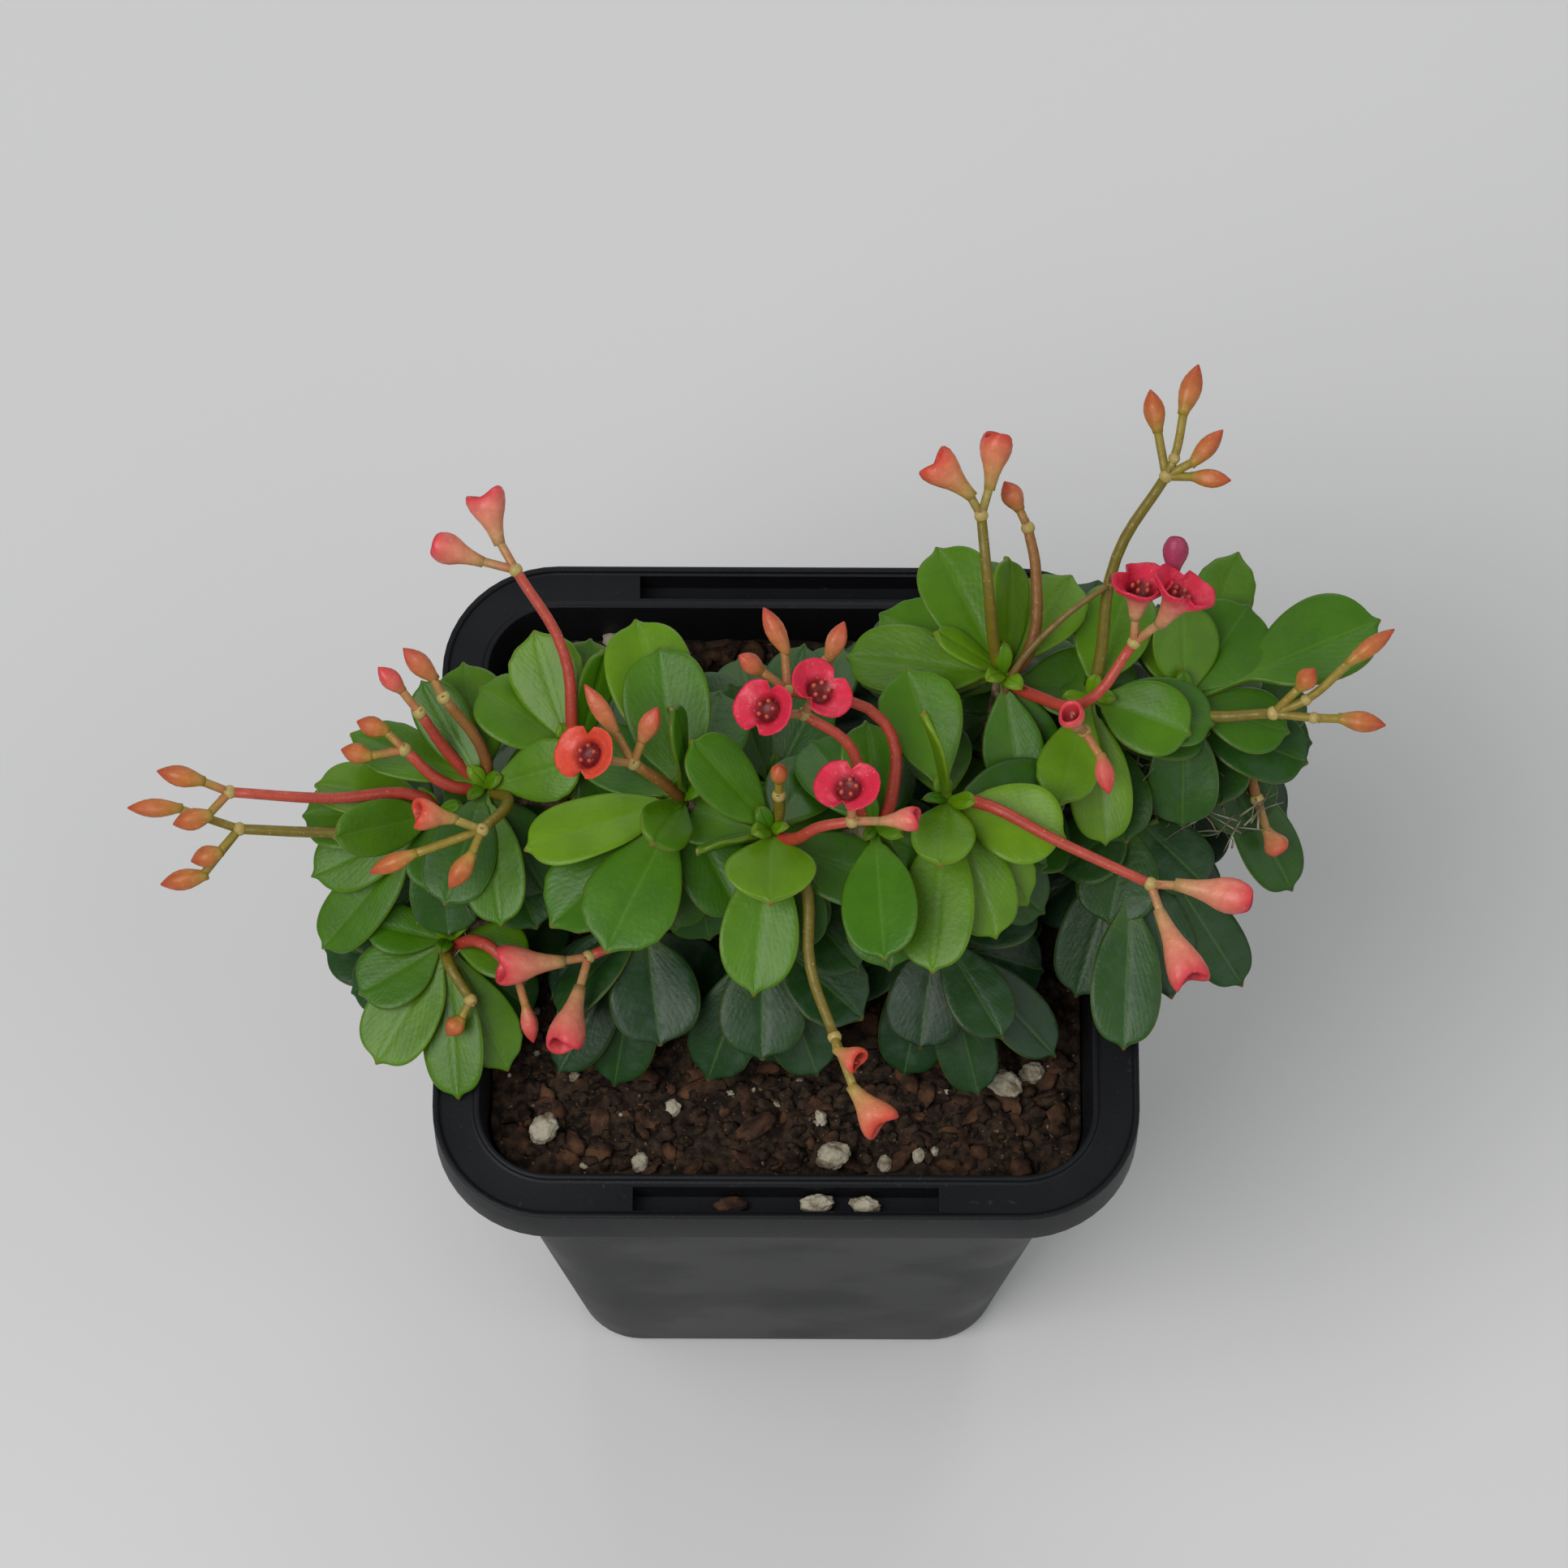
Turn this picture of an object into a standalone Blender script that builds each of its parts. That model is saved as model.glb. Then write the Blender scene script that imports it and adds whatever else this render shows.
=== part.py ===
"""A potted euphorbia: a low, branching succulent with rosettes of spoon-shaped leaves and
coral flower stalks, growing in a square nursery pot.

The pot stands on the floor with the centre of its base at the origin. +Z is up, the
front of the plant faces -Y, and its widest spread lies along X.
"""

import math

import bmesh
import bpy
from mathutils import Matrix, Vector
from mathutils.bvhtree import BVHTree
from mathutils.noise import noise

MM = 0.001
GAP = 0.3 * MM  # air between two neighbouring pieces

# The pot, from the floor up
POT_HEIGHT = 100 * MM
BASE_HALF = 29 * MM
BASE_CORNER = 9 * MM
RIM_HALF = 45 * MM
RIM_CORNER = 15 * MM
RIM_WIDTH = 6 * MM
WALL = 1.2 * MM
FLOOR = 1.5 * MM
LIP = 0.8 * MM  # the two raised edges of the rim
LIP_BEVEL = 0.3 * MM
RIM_SINK = 0.6 * MM  # how far the rim lies below its raised edges
SKIRT_DEPTH = 7.8 * MM
CORNER_STEPS = 3

# The trough in the middle of each side of the rim
TROUGH_HALF = 19.4 * MM
TROUGH_WIDTH = 3.2 * MM
TROUGH_DEPTH = 4.5 * MM
BED_INTO_WALL = 0.4 * MM  # how far a trough's bed reaches into the wall beside it
BED_INTO_SKIRT = 0.5 * MM  # how far it stops short of the skirt's outside

# The drain holes in the pot's floor
DRAIN_RADIUS = 3.5 * MM
DRAIN_OFFSET = 16 * MM
DRAIN_SIDES = 12

# The potting mix
MIX_TOP = 92 * MM
MIX_BUMP = 1.4 * MM
MIX_RINGS = (0.985, 0.82, 0.64, 0.46, 0.28, 0.12)  # shares of its width, from the wall inwards
BROAD_SWELLS = (60, 0.7)  # swells per metre, share of the bump
FINE_SWELLS = (220, 0.5)
SOCKET_SIDES = 12

# The plant
TRUNK_DEPTH = 12 * MM  # how deep each trunk stands in the mix
TRUNK_COLLAR = 2.5 * MM  # how high a trunk stays upright above the mix
HIGHEST_BRANCH = 0.92  # where branches leave the trunk, as shares of its way to the fork
BRANCH_SPREAD = 0.45
BRANCH_SHARE = 0.55  # a branch's radius, as a share of its trunk's
SHOOT_RADIUS = 2.2 * MM
LEAF_THICKNESS = 1.5 * MM
LONGEST_BLADE = 17 * MM
BLADE_SHARE = 0.84  # the rest of a leaf's reach is its stalk
STALK_RADIUS = 0.85 * MM
NECK_RADIUS = 0.65 * MM
SLEEVE_FOOT = 0.82 * MM
SLEEVE_MOUTH = 1.6 * MM
SLEEVE_SHARE = 0.72  # how much of a flower's length is its sleeve
BUD_RADIUS = 1.35 * MM
LIPS_HALF = (2.2 * MM, 1.7 * MM, 0.32)  # half sizes, the last as a share of the flower
LIPS_SHARE = 0.68  # where the middle of the lips is along the flower
LOBES_HALF = (3.3 * MM, 3.0 * MM, 0.9 * MM)
TIP_DROOP = 0.9 * MM  # how far a leaf's tip bends down
LEAF_CUP = 0.10  # how far its sides rise, per distance from the midrib
TWIST = math.radians(23)  # keeps the edges of united solids from lying on each other
GOLDEN_ANGLE = math.radians(137.5)
UNDER_LEAF_RISE = -32  # degrees
UNDER_LEAF_REACH = 15.5 * MM
UNDER_LEAF_WIDTH = 9 * MM
TURNS_PER_LEAF = 4  # headings tried for each leaf wanted below
TILTS = (0, 7, -7, 14, -14, 21, -21, 28)  # tried in turn, in degrees, to pass a neighbour

# Trunks and their branches. A trunk is (where it leaves the mix, its fork, radius).
# Places are (x, y, z) in mm. Each branch ends below the rosette of that name.
TRUNKS = {
    "stem_west": (
        ((-16, 6, 92), (-21, 5, 108), 2.4),
        {
            "rosette_north_west": (-30, 5, 117),
            "rosette_west": (-34, 3, 114),
            "rosette_south_west": (-32, -3, 106),
            "rosette_north": (-24, 6, 118),
            "rosette_back_west": (-19, 9, 110),
            "rosette_front_west": (-20, -1, 107),
        },
    ),
    "stem_middle": (
        ((-1, 3, 92), (-2, 1, 108), 2.6),
        {
            "rosette_middle_west": (-9, 0, 120),
            "rosette_middle": (-2, -2, 120),
            "rosette_centre_east": (5, -2, 120),
            "rosette_back_middle": (-2, 4, 112),
            "rosette_front": (-3, -5, 109),
        },
    ),
    "stem_east": (
        ((20, 8, 92), (24, 9, 107), 2.6),
        {
            "rosette_middle_east": (21, 3, 120),
            "rosette_north_east": (26, 13, 120),
            "rosette_east": (33, 11, 118),
            "rosette_far_east": (39, 12, 115),
            "rosette_low_east": (43, 15, 108),
            "rosette_south_east": (34, 7, 107),
            "rosette_front_east": (22, -1, 107),
            "rosette_back_east": (18, 14, 110),
            "rosette_back_corner": (34, 18, 109),
        },
    ),
}

# Rosettes: (shoot tip, leaves, number of leaves added below them). The shoot tip is
# (x, y, z) in mm. A leaf is (x and y of its tip in mm, rise in degrees, width in mm,
# roll about its midrib in degrees).
ROSETTES = {
    "rosette_west": (
        (-44, 2, 120),
        (
            (-59, 6, 5, 9, 20),
            (-61, 3, -9, 10, 0),
            (-61, -4, -8, 9, -10),
            (-58, -6, 6, 7, -30),
            (-60, -12, -25, 8, 0),
            (-45, -8, 2, 7, 0),
        ),
        3,
    ),
    "rosette_south_west": (
        (-43, -11, 108),
        (
            (-54, -17, -5, 9, 0),
            (-52, -25, -15, 9.5, 0),
            (-42, -29, -20, 8, 15),
            (-35, -26, -12, 8, 0),
            (-33, -13, -10, 8, 0),
            (-53, -9, 12, 7, 0),
        ),
        2,
    ),
    "rosette_north_west": (
        (-38, 4, 124),
        (
            (-41, 20, 5, 9.5, 0),
            (-46, 16, 18, 7, -20),
            (-54, 11, 14, 8, 10),
            (-25, 4, 22, 8, 25),
            (-36, -13, -8, 8, 10),
        ),
        3,
    ),
    "rosette_north": (
        (-27, 7, 128),
        (
            (-38, 15, 12, 10, 10),
            (-32, 21, 16, 9.5, -15),
            (-25, 22, 4, 8, 0),
            (-23, 17, 34, 6, 50),
        ),
        3,
    ),
    "rosette_middle_west": (
        (-13, -1, 132),
        (
            (-19, 22, 0, 11, 0),
            (-16, 17, 16, 11, -10),
            (-32, -7, 2, 9, 10),
            (-29, -15, -14, 11.5, 10),
            (-22, -20, 0, 12, 0),
            (-16, -9, 42, 7, -20),
            (-13, 4, 70, 7, 80),
        ),
        2,
    ),
    "rosette_middle": (
        (-2, -6, 134),
        (
            (-13, 4, 14, 9, 15),
            (-2, -16, 26, 11.5, 0),
            (-4, -25, -14, 10, 0),
            (-11, -9, 20, 4, 60),
        ),
        2,
    ),
    "rosette_centre_east": (
        (11, -5, 133),
        (
            (10, 7, 22, 8, 15),
            (12, -22, 4, 9.5, 10),
        ),
        2,
    ),
    "rosette_back_middle": (
        (-2, 6, 118),
        (
            (-12, 23, -6, 9.5, 0),
            (-6, 27, -15, 9, 8),
            (-7, 19, 15, 8, 5),
            (4, 18, 17, 8, -5),
            (2, 27, -5, 8.5, 0),
            (7, 29, -16, 8, 0),
        ),
        3,
    ),
    "rosette_middle_east": (
        (20, -1, 132),
        (
            (15, 15, 12, 10.5, 0),
            (18, 4, 72, 6, 85),
            (19, -11, 36, 8, 0),
            (34, -6, 6, 10.5, 10),
            (18, -22, -6, 9.5, 10),
            (26, -17, -12, 9, 0),
            (30, -12, -20, 8, 0),
        ),
        2,
    ),
    "rosette_north_east": (
        (27, 16, 132),
        (
            (19, 32, 10, 10, 0),
            (28, 28, 34, 7, 50),
            (19, 20, 30, 5, 30),
            (35, 29, 16, 10, -10),
            (8, 19, 0, 9.5, 0),
            (12, 27, -15, 9, 0),
            (25, 34, -14, 9, 0),
            (29, 3, -20, 8, 0),
        ),
        2,
    ),
    "rosette_east": (
        (38, 14, 130),
        (
            (43, 29, 4, 10, 0),
            (50, 9, 6, 9.5, 10),
            (34, 0, 4, 8, 0),
            (40, -3, -18, 8, 0),
        ),
        2,
    ),
    "rosette_far_east": (
        (50, 15, 126),
        (
            (50, 25, 34, 9, 20),
            (58, 27, 12, 11, 0),
            (74, 25, 8, 12, 0),
            (57, 35, 2, 8, 0),
            (63, 12, -6, 9, 0),
            (47, 27, 8, 8, 0),
        ),
        2,
    ),
    "rosette_low_east": (
        (53, 16, 115),
        (
            (55, 6, 4, 9, 0),
            (61, 4, -8, 10, 0),
            (67, 16, -14, 9, 0),
            (65, 0, -36, 8, 0),
            (66, 21, -10, 9, 0),
            (58, 29, -16, 9, 0),
        ),
        2,
    ),
    "rosette_south_east": (
        (44, 5, 112),
        (
            (35, -2, 2, 9.5, 0),
            (41, -8, -10, 10.5, 0),
            (53, -3, -8, 9, 0),
            (49, -16, -18, 8.5, 0),
            (58, -14, -20, 8, 0),
            (37, -15, -26, 9, 0),
            (43, -19, -34, 9, 0),
        ),
        1,
    ),
    "rosette_front_west": (
        (-18, -9, 111),
        (
            (-16, -24, -12, 11.5, 0),
            (-29, -20, -8, 8, 30),
            (-29, -25, -30, 8, 0),
            (-22, -26, -38, 9, 0),
        ),
        1,
    ),
    "rosette_front": (
        (-3, -11, 112),
        (
            (-3, -26, -14, 11, 0),
            (-10, -26, -36, 9, 0),
            (4, -26, -32, 9, 0),
            (9, -21, -12, 10, 0),
        ),
        1,
    ),
    "rosette_front_east": (
        (19, -10, 111),
        (
            (17, -24, -16, 10, 0),
            (27, -23, -14, 8.5, 0),
            (15, -25, -38, 9, 0),
            (34, -23, -26, 8, 0),
            (24, -26, -40, 8, 0),
        ),
        1,
    ),
    "rosette_back_west": (
        (-19, 14, 115),
        (
            (-26, 28, -10, 9, 0),
            (-18, 29, -18, 9, 0),
            (-34, 20, -14, 9, 0),
            (-10, 27, -26, 8, 0),
            (-30, 27, -30, 8, 0),
        ),
        1,
    ),
    "rosette_back_east": (
        (16, 19, 115),
        (
            (15, 34, -14, 9, 0),
            (23, 32, -22, 9, 0),
            (8, 33, -24, 8, 0),
            (28, 26, -10, 8, 0),
        ),
        1,
    ),
    "rosette_back_corner": (
        (38, 23, 114),
        (
            (40, 38, -10, 10, 0),
            (31, 36, -18, 9, 0),
            (49, 34, -16, 9, 0),
            (35, 38, -34, 9, 0),
            (27, 30, -30, 8, 0),
        ),
        1,
    ),
}

# Flower stalks: (colour, points along the stalk, heads). A head is (kind, points from
# the fork to its tip), and its last two points are the foot and the tip of the flower.
FLOWER_STALKS = (
    (
        "coral",
        ((-46, 3, 123), (-58, 2, 125), (-70, 2, 127)),
        (("bud", (-73, 3, 128), (-79, 4, 129)), ("bud", (-72, -1, 127), (-77, -2, 126))),
    ),
    (
        "olive",
        ((-46, 0, 120), (-58, -1, 121), (-69, -1, 122)),
        (
            ("bud", (-76, 1, 124), (-83, 1, 124)),
            ("bud", (-71, -4, 122), (-75, -5, 121)),
            ("bud", (-73, -6, 119), (-79, -7, 118)),
        ),
    ),
    (
        "olive",
        ((-35, 1, 127), (-38, -5, 132)),
        (
            ("half", (-41, -4, 133), (-46, -4, 135)),
            ("bud", (-39, -8, 132), (-42, -12, 130)),
            ("bud", (-46, -8, 132), (-52, -10, 130)),
        ),
    ),
    ("brown", ((-38, 7, 127), (-43, 12, 134)), (("bud", (-44, 14, 135), (-48, 17, 138)),)),
    ("coral", ((-42, 7, 126), (-46, 10, 134)), (("bud", (-48, 12, 136), (-51, 14, 139)),)),
    (
        "coral",
        ((-43, 4, 125), (-48, 7, 129)),
        (("bud", (-50, 9, 130), (-54, 10, 131)), ("bud", (-52, 6, 129), (-56, 7, 129))),
    ),
    (
        "coral",
        ((-27, 9, 131), (-28, 17, 137), (-34, 26, 142)),
        (("half", (-36, 29, 143), (-38, 35, 145)), ("half", (-38, 27, 142), (-44, 29, 143))),
    ),
    (
        "brown",
        ((-14, -1, 135), (-19, 0, 142)),
        (
            ("open", (-23, 0, 143), (-26, 0, 146)),
            ("bud", (-21, 3, 144), (-25, 8, 148)),
            ("bud", (-18, 2, 144), (-16, 5, 148)),
        ),
    ),
    (
        "coral",
        ((9, -3, 136), (8, 2, 142), (2, 5, 146)),
        (("open", (-1, 4, 148), (-4, 4, 151)), ("open", (3, 6, 148), (5, 7, 151))),
    ),
    (
        "coral",
        ((13, -2, 136), (12, 6, 141), (0, 9, 144)),
        (
            ("bud", (0, 13, 146), (-3, 18, 149)),
            ("bud", (-3, 11, 145), (-6, 12, 148)),
            ("bud", (5, 13, 144), (7, 17, 147)),
        ),
    ),
    (
        "coral",
        ((1, -8, 137), (4, -8, 141), (8, -8, 143)),
        (("open", (8, -6, 146), (7, -5, 149)), ("half", (11, -8, 143), (16, -8, 144))),
    ),
    (
        "coral",
        ((23, -2, 135), (34, -8, 136), (45, -13, 135)),
        (("half", (48, -13, 135), (57, -15, 135)), ("half", (46, -16, 134), (50, -25, 133))),
    ),
    (
        "olive",
        ((2, -11, 132), (3, -22, 129), (6, -30, 126)),
        (("half", (6, -32, 127), (9, -34, 128)), ("half", (8, -36, 125), (12, -41, 124))),
    ),
    (
        "coral",
        ((-20, -12, 113), (-25, -15, 114)),
        (("half", (-28, -16, 115), (-36, -17, 116)), ("half", (-26, -19, 114), (-28, -27, 114))),
    ),
    ("coral", ((-38, -13, 113), (-34, -17, 112)), (("bud", (-33, -20, 110), (-32, -24, 107)),)),
    ("olive", ((-43, -14, 110), (-40, -19, 109)), (("bud", (-41, -21, 108), (-43, -23, 107)),)),
    (
        "olive",
        ((26, 18, 135), (25, 23, 143), (24, 31, 148)),
        (("half", (23, 33, 149), (18, 37, 151)), ("half", (25, 34, 149), (26, 40, 152))),
    ),
    ("brown", ((30, 18, 134), (31, 27, 140), (30, 32, 142)), (("bud", (29, 34, 143), (27, 37, 145)),)),
    (
        "olive",
        ((39, 17, 132), (41, 28, 142), (47, 36, 149)),
        (
            ("bud", (46, 41, 151), (45, 46, 153)),
            ("bud", (48, 38, 150), (49, 43, 152), (51, 49, 154)),
            ("bud", (50, 37, 150), (54, 41, 152)),
            ("bud", (50, 36, 149), (55, 35, 150)),
        ),
    ),
    (
        "coral",
        ((31, 13, 133), (37, 10, 138), (43, 16, 143)),
        (("open", (43, 18, 146), (44, 23, 149)), ("open", (46, 17, 146), (50, 22, 149))),
    ),
    (
        "coral",
        ((35, 12, 132), (37, 7, 136)),
        (("half", (36, 6, 139), (35, 7, 142)), ("bud", (39, 4, 136), (40, -1, 135))),
    ),
    (
        "olive",
        ((52, 13, 127), (61, 12, 130)),
        (
            ("bud", (65, 13, 132), (70, 17, 134), (76, 21, 136)),
            ("bud", (66, 11, 131), (69, 11, 131), (75, 10, 131)),
            ("bud", (64, 14, 133), (66, 16, 135)),
        ),
    ),
    ("olive", ((-1, -4, 136), (-1, -3, 139)), (("bud", (-1, -2, 141), (-1, -1, 144)),)),
    ("brown", ((57, 14, 116), (60, 8, 111)), (("half", (61, 5, 109), (63, 2, 108)),)),
)

# Loose grains: (x, y) in mm, half lengths in mm and turn in degrees
TROUGH_GRAINS = {
    "perlite_grain_1": ((4.0, -42.1), (2.2, 1.2, 1.5), 8),
    "perlite_grain_2": ((10.0, -42.2), (2.1, 1.2, 1.4), -6),
    "bark_chip_1": ((-7.0, -42.0), (2.2, 1.1, 0.9), 5),
}
MIX_GRAINS = {
    "perlite_grain_3": ((6.0, -34.0), (2.4, 1.9, 1.6), 20),
    "perlite_grain_4": ((-31.0, -31.0), (2.2, 1.8, 1.7), 60),
    "perlite_grain_5": ((28.0, -27.0), (2.6, 1.9, 1.5), -25),
    "bark_chip_2": ((-4.0, -30.5), (3.0, 1.5, 0.9), 35),
    "bark_chip_3": ((-22.0, 34.0), (2.8, 1.4, 0.9), -20),
}

# Colour, roughness
LOOKS = {
    "pot": ((0.012, 0.013, 0.015), 0.45),
    "potting_mix": ((0.035, 0.022, 0.014), 0.95),
    "stem": ((0.16, 0.11, 0.07), 0.8),
    "leaf": ((0.07, 0.20, 0.02), 0.4),
    "coral": ((0.75, 0.14, 0.11), 0.45),
    "olive": ((0.30, 0.24, 0.03), 0.5),
    "brown": ((0.34, 0.15, 0.05), 0.6),
    "perlite": ((0.72, 0.68, 0.58), 0.9),
    "bark": ((0.12, 0.06, 0.03), 0.9),
}


def clear_scene():
    for old in list(bpy.data.objects):
        bpy.data.objects.remove(old, do_unlink=True)


def new_collection(name):
    collection = bpy.data.collections.new(name)
    bpy.context.scene.collection.children.link(collection)
    return collection


def look(name):
    """The named material, made the first time it is asked for."""
    found = bpy.data.materials.get(name)
    if found:
        return found
    material = bpy.data.materials.new(name)
    material.use_nodes = True
    colour, roughness = LOOKS[name]
    shader = material.node_tree.nodes["Principled BSDF"]
    shader.inputs["Base Color"].default_value = (*colour, 1.0)
    shader.inputs["Roughness"].default_value = roughness
    return material


def face_outward(bm):
    bmesh.ops.recalc_face_normals(bm, faces=bm.faces)
    if bm.calc_volume(signed=True) < 0:
        bmesh.ops.reverse_faces(bm, faces=bm.faces)
    bm.normal_update()


def evaluated_mesh(made):
    bpy.context.view_layer.update()
    depsgraph = bpy.context.evaluated_depsgraph_get()
    return bpy.data.meshes.new_from_object(made.evaluated_get(depsgraph))


def combine(first, others, operation):
    """Unite the other solids with the first, or cut them from it, and drop them."""
    for other in others:
        step = first.modifiers.new(operation.lower(), "BOOLEAN")
        step.operation = operation
        step.solver = "EXACT"
        step.object = other
    result = evaluated_mesh(first)
    first.modifiers.clear()
    first.data = result
    for other in others:
        bpy.data.objects.remove(other, do_unlink=True)
    return first


def name_piece(made, name, material, collection, smooth=True):
    """Give a finished solid its name and material, and put it in the plant's collection."""
    made.name = name
    made.data.name = name
    made.data.materials.clear()
    made.data.materials.append(look(material))
    if smooth:
        made.data.shade_smooth()
        made.data.set_sharp_from_angle(angle=math.radians(40))
    for old in list(made.users_collection):
        old.objects.unlink(made)
    collection.objects.link(made)
    made.hide_render = False
    made.display_type = "TEXTURED"
    return made


def workshop_piece(bm, name, workshop):
    """An object holding the bmesh: a solid that is still to be united, cut or named."""
    face_outward(bm)
    mesh = bpy.data.meshes.new(name)
    bm.to_mesh(mesh)
    bm.free()
    made = bpy.data.objects.new(name, mesh)
    workshop.objects.link(made)
    made.hide_render = True
    made.display_type = "WIRE"
    return made


# Solids


def rounded_square(half, corner, height):
    """Points of a square with rounded corners, anticlockwise, at one height."""
    points = []
    centre = half - corner
    for quarter in range(4):
        for step in range(CORNER_STEPS + 1):
            angle = math.radians(90) * (quarter + step / CORNER_STEPS)
            middle = math.radians(90) * quarter + math.radians(45)
            x = math.copysign(centre, math.cos(middle)) + corner * math.cos(angle)
            y = math.copysign(centre, math.sin(middle)) + corner * math.sin(angle)
            points.append(Vector((x, y, height)))
    return points


def loft(bm, rings):
    """Skin a stack of rings that have the same number of points, and cap both ends."""
    stacks = [[bm.verts.new(point) for point in ring] for ring in rings]
    count = len(stacks[0])
    for lower, upper in zip(stacks, stacks[1:]):
        for i in range(count):
            j = (i + 1) % count
            bm.faces.new((lower[i], lower[j], upper[j], upper[i]))
    bm.faces.new(list(reversed(stacks[0])))
    bm.faces.new(stacks[-1])


def block(name, low, high, workshop):
    bm = bmesh.new()
    bmesh.ops.create_cube(bm, size=1.0)
    low, high = Vector(low), Vector(high)
    size = high - low
    for vert in bm.verts:
        vert.co = Vector((vert.co[i] * size[i] for i in range(3))) + (low + high) / 2
    return workshop_piece(bm, name, workshop)


def frustum(name, foot, top, foot_radius, top_radius, sides, workshop):
    """A cone or cylinder from foot to top."""
    bm = bmesh.new()
    axis = top - foot
    turn = axis.to_track_quat("Z", "Y").to_matrix().to_4x4() @ Matrix.Rotation(TWIST, 4, "Z")
    bmesh.ops.create_cone(
        bm,
        cap_ends=True,
        segments=sides,
        radius1=foot_radius,
        radius2=top_radius,
        depth=axis.length,
        matrix=Matrix.Translation((foot + top) / 2) @ turn,
    )
    return workshop_piece(bm, name, workshop)


def ellipsoid(name, centre, axis, half_sizes, workshop, segments=5, rings=4):
    """A ball stretched to its half sizes, whose own Z points along the axis."""
    bm = bmesh.new()
    bmesh.ops.create_uvsphere(bm, u_segments=segments, v_segments=rings, radius=1.0)
    turn = axis.to_track_quat("Z", "Y").to_matrix()
    spin = Matrix.Rotation(TWIST / 2, 3, "Z")
    for vert in bm.verts:
        round_place = spin @ vert.co
        stretched = Vector((round_place[i] * half_sizes[i] for i in range(3)))
        vert.co = centre + turn @ stretched
    return workshop_piece(bm, name, workshop)


def tube(name, points, radius, workshop, sides=0):
    """A round rod along the points: a curve with a bevel, made a closed mesh."""
    curve = bpy.data.curves.new(name, "CURVE")
    curve.dimensions = "3D"
    curve.bevel_depth = radius
    curve.bevel_resolution = sides
    curve.render_resolution_u = 0
    curve.use_fill_caps = True
    spline = curve.splines.new("POLY")
    spline.points.add(len(points) - 1)
    for place, point in zip(spline.points, points):
        place.co = (*point, 1.0)
    guide = bpy.data.objects.new(name, curve)
    workshop.objects.link(guide)
    bm = bmesh.new()
    bm.from_mesh(evaluated_mesh(guide))
    bmesh.ops.remove_doubles(bm, verts=bm.verts, dist=0.00001)
    bpy.data.objects.remove(guide, do_unlink=True)
    return workshop_piece(bm, name, workshop)


def in_metres(point):
    return Vector(point) * MM


def search_tree(bm):
    """A search tree of a bmesh, which is used up. It is in mm: in metres, triangles as
    small as these fall under the tree's own rounding."""
    bmesh.ops.scale(bm, vec=(1 / MM,) * 3, verts=bm.verts)
    tree = BVHTree.FromBMesh(bm)
    bm.free()
    return tree


def tree_of(made):
    bm = bmesh.new()
    bm.from_mesh(made.data)
    return search_tree(bm)


# The pot


def wall_half(height, inset):
    """Half the width of the pot's wall at a height, measured to a surface inset from its outside."""
    top = RIM_HALF - RIM_WIDTH + WALL
    return BASE_HALF + (top - BASE_HALF) * height / POT_HEIGHT - inset


def wall_corner(height, inset):
    top = RIM_CORNER - RIM_WIDTH + WALL
    return BASE_CORNER + (top - BASE_CORNER) * height / POT_HEIGHT - inset


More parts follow.
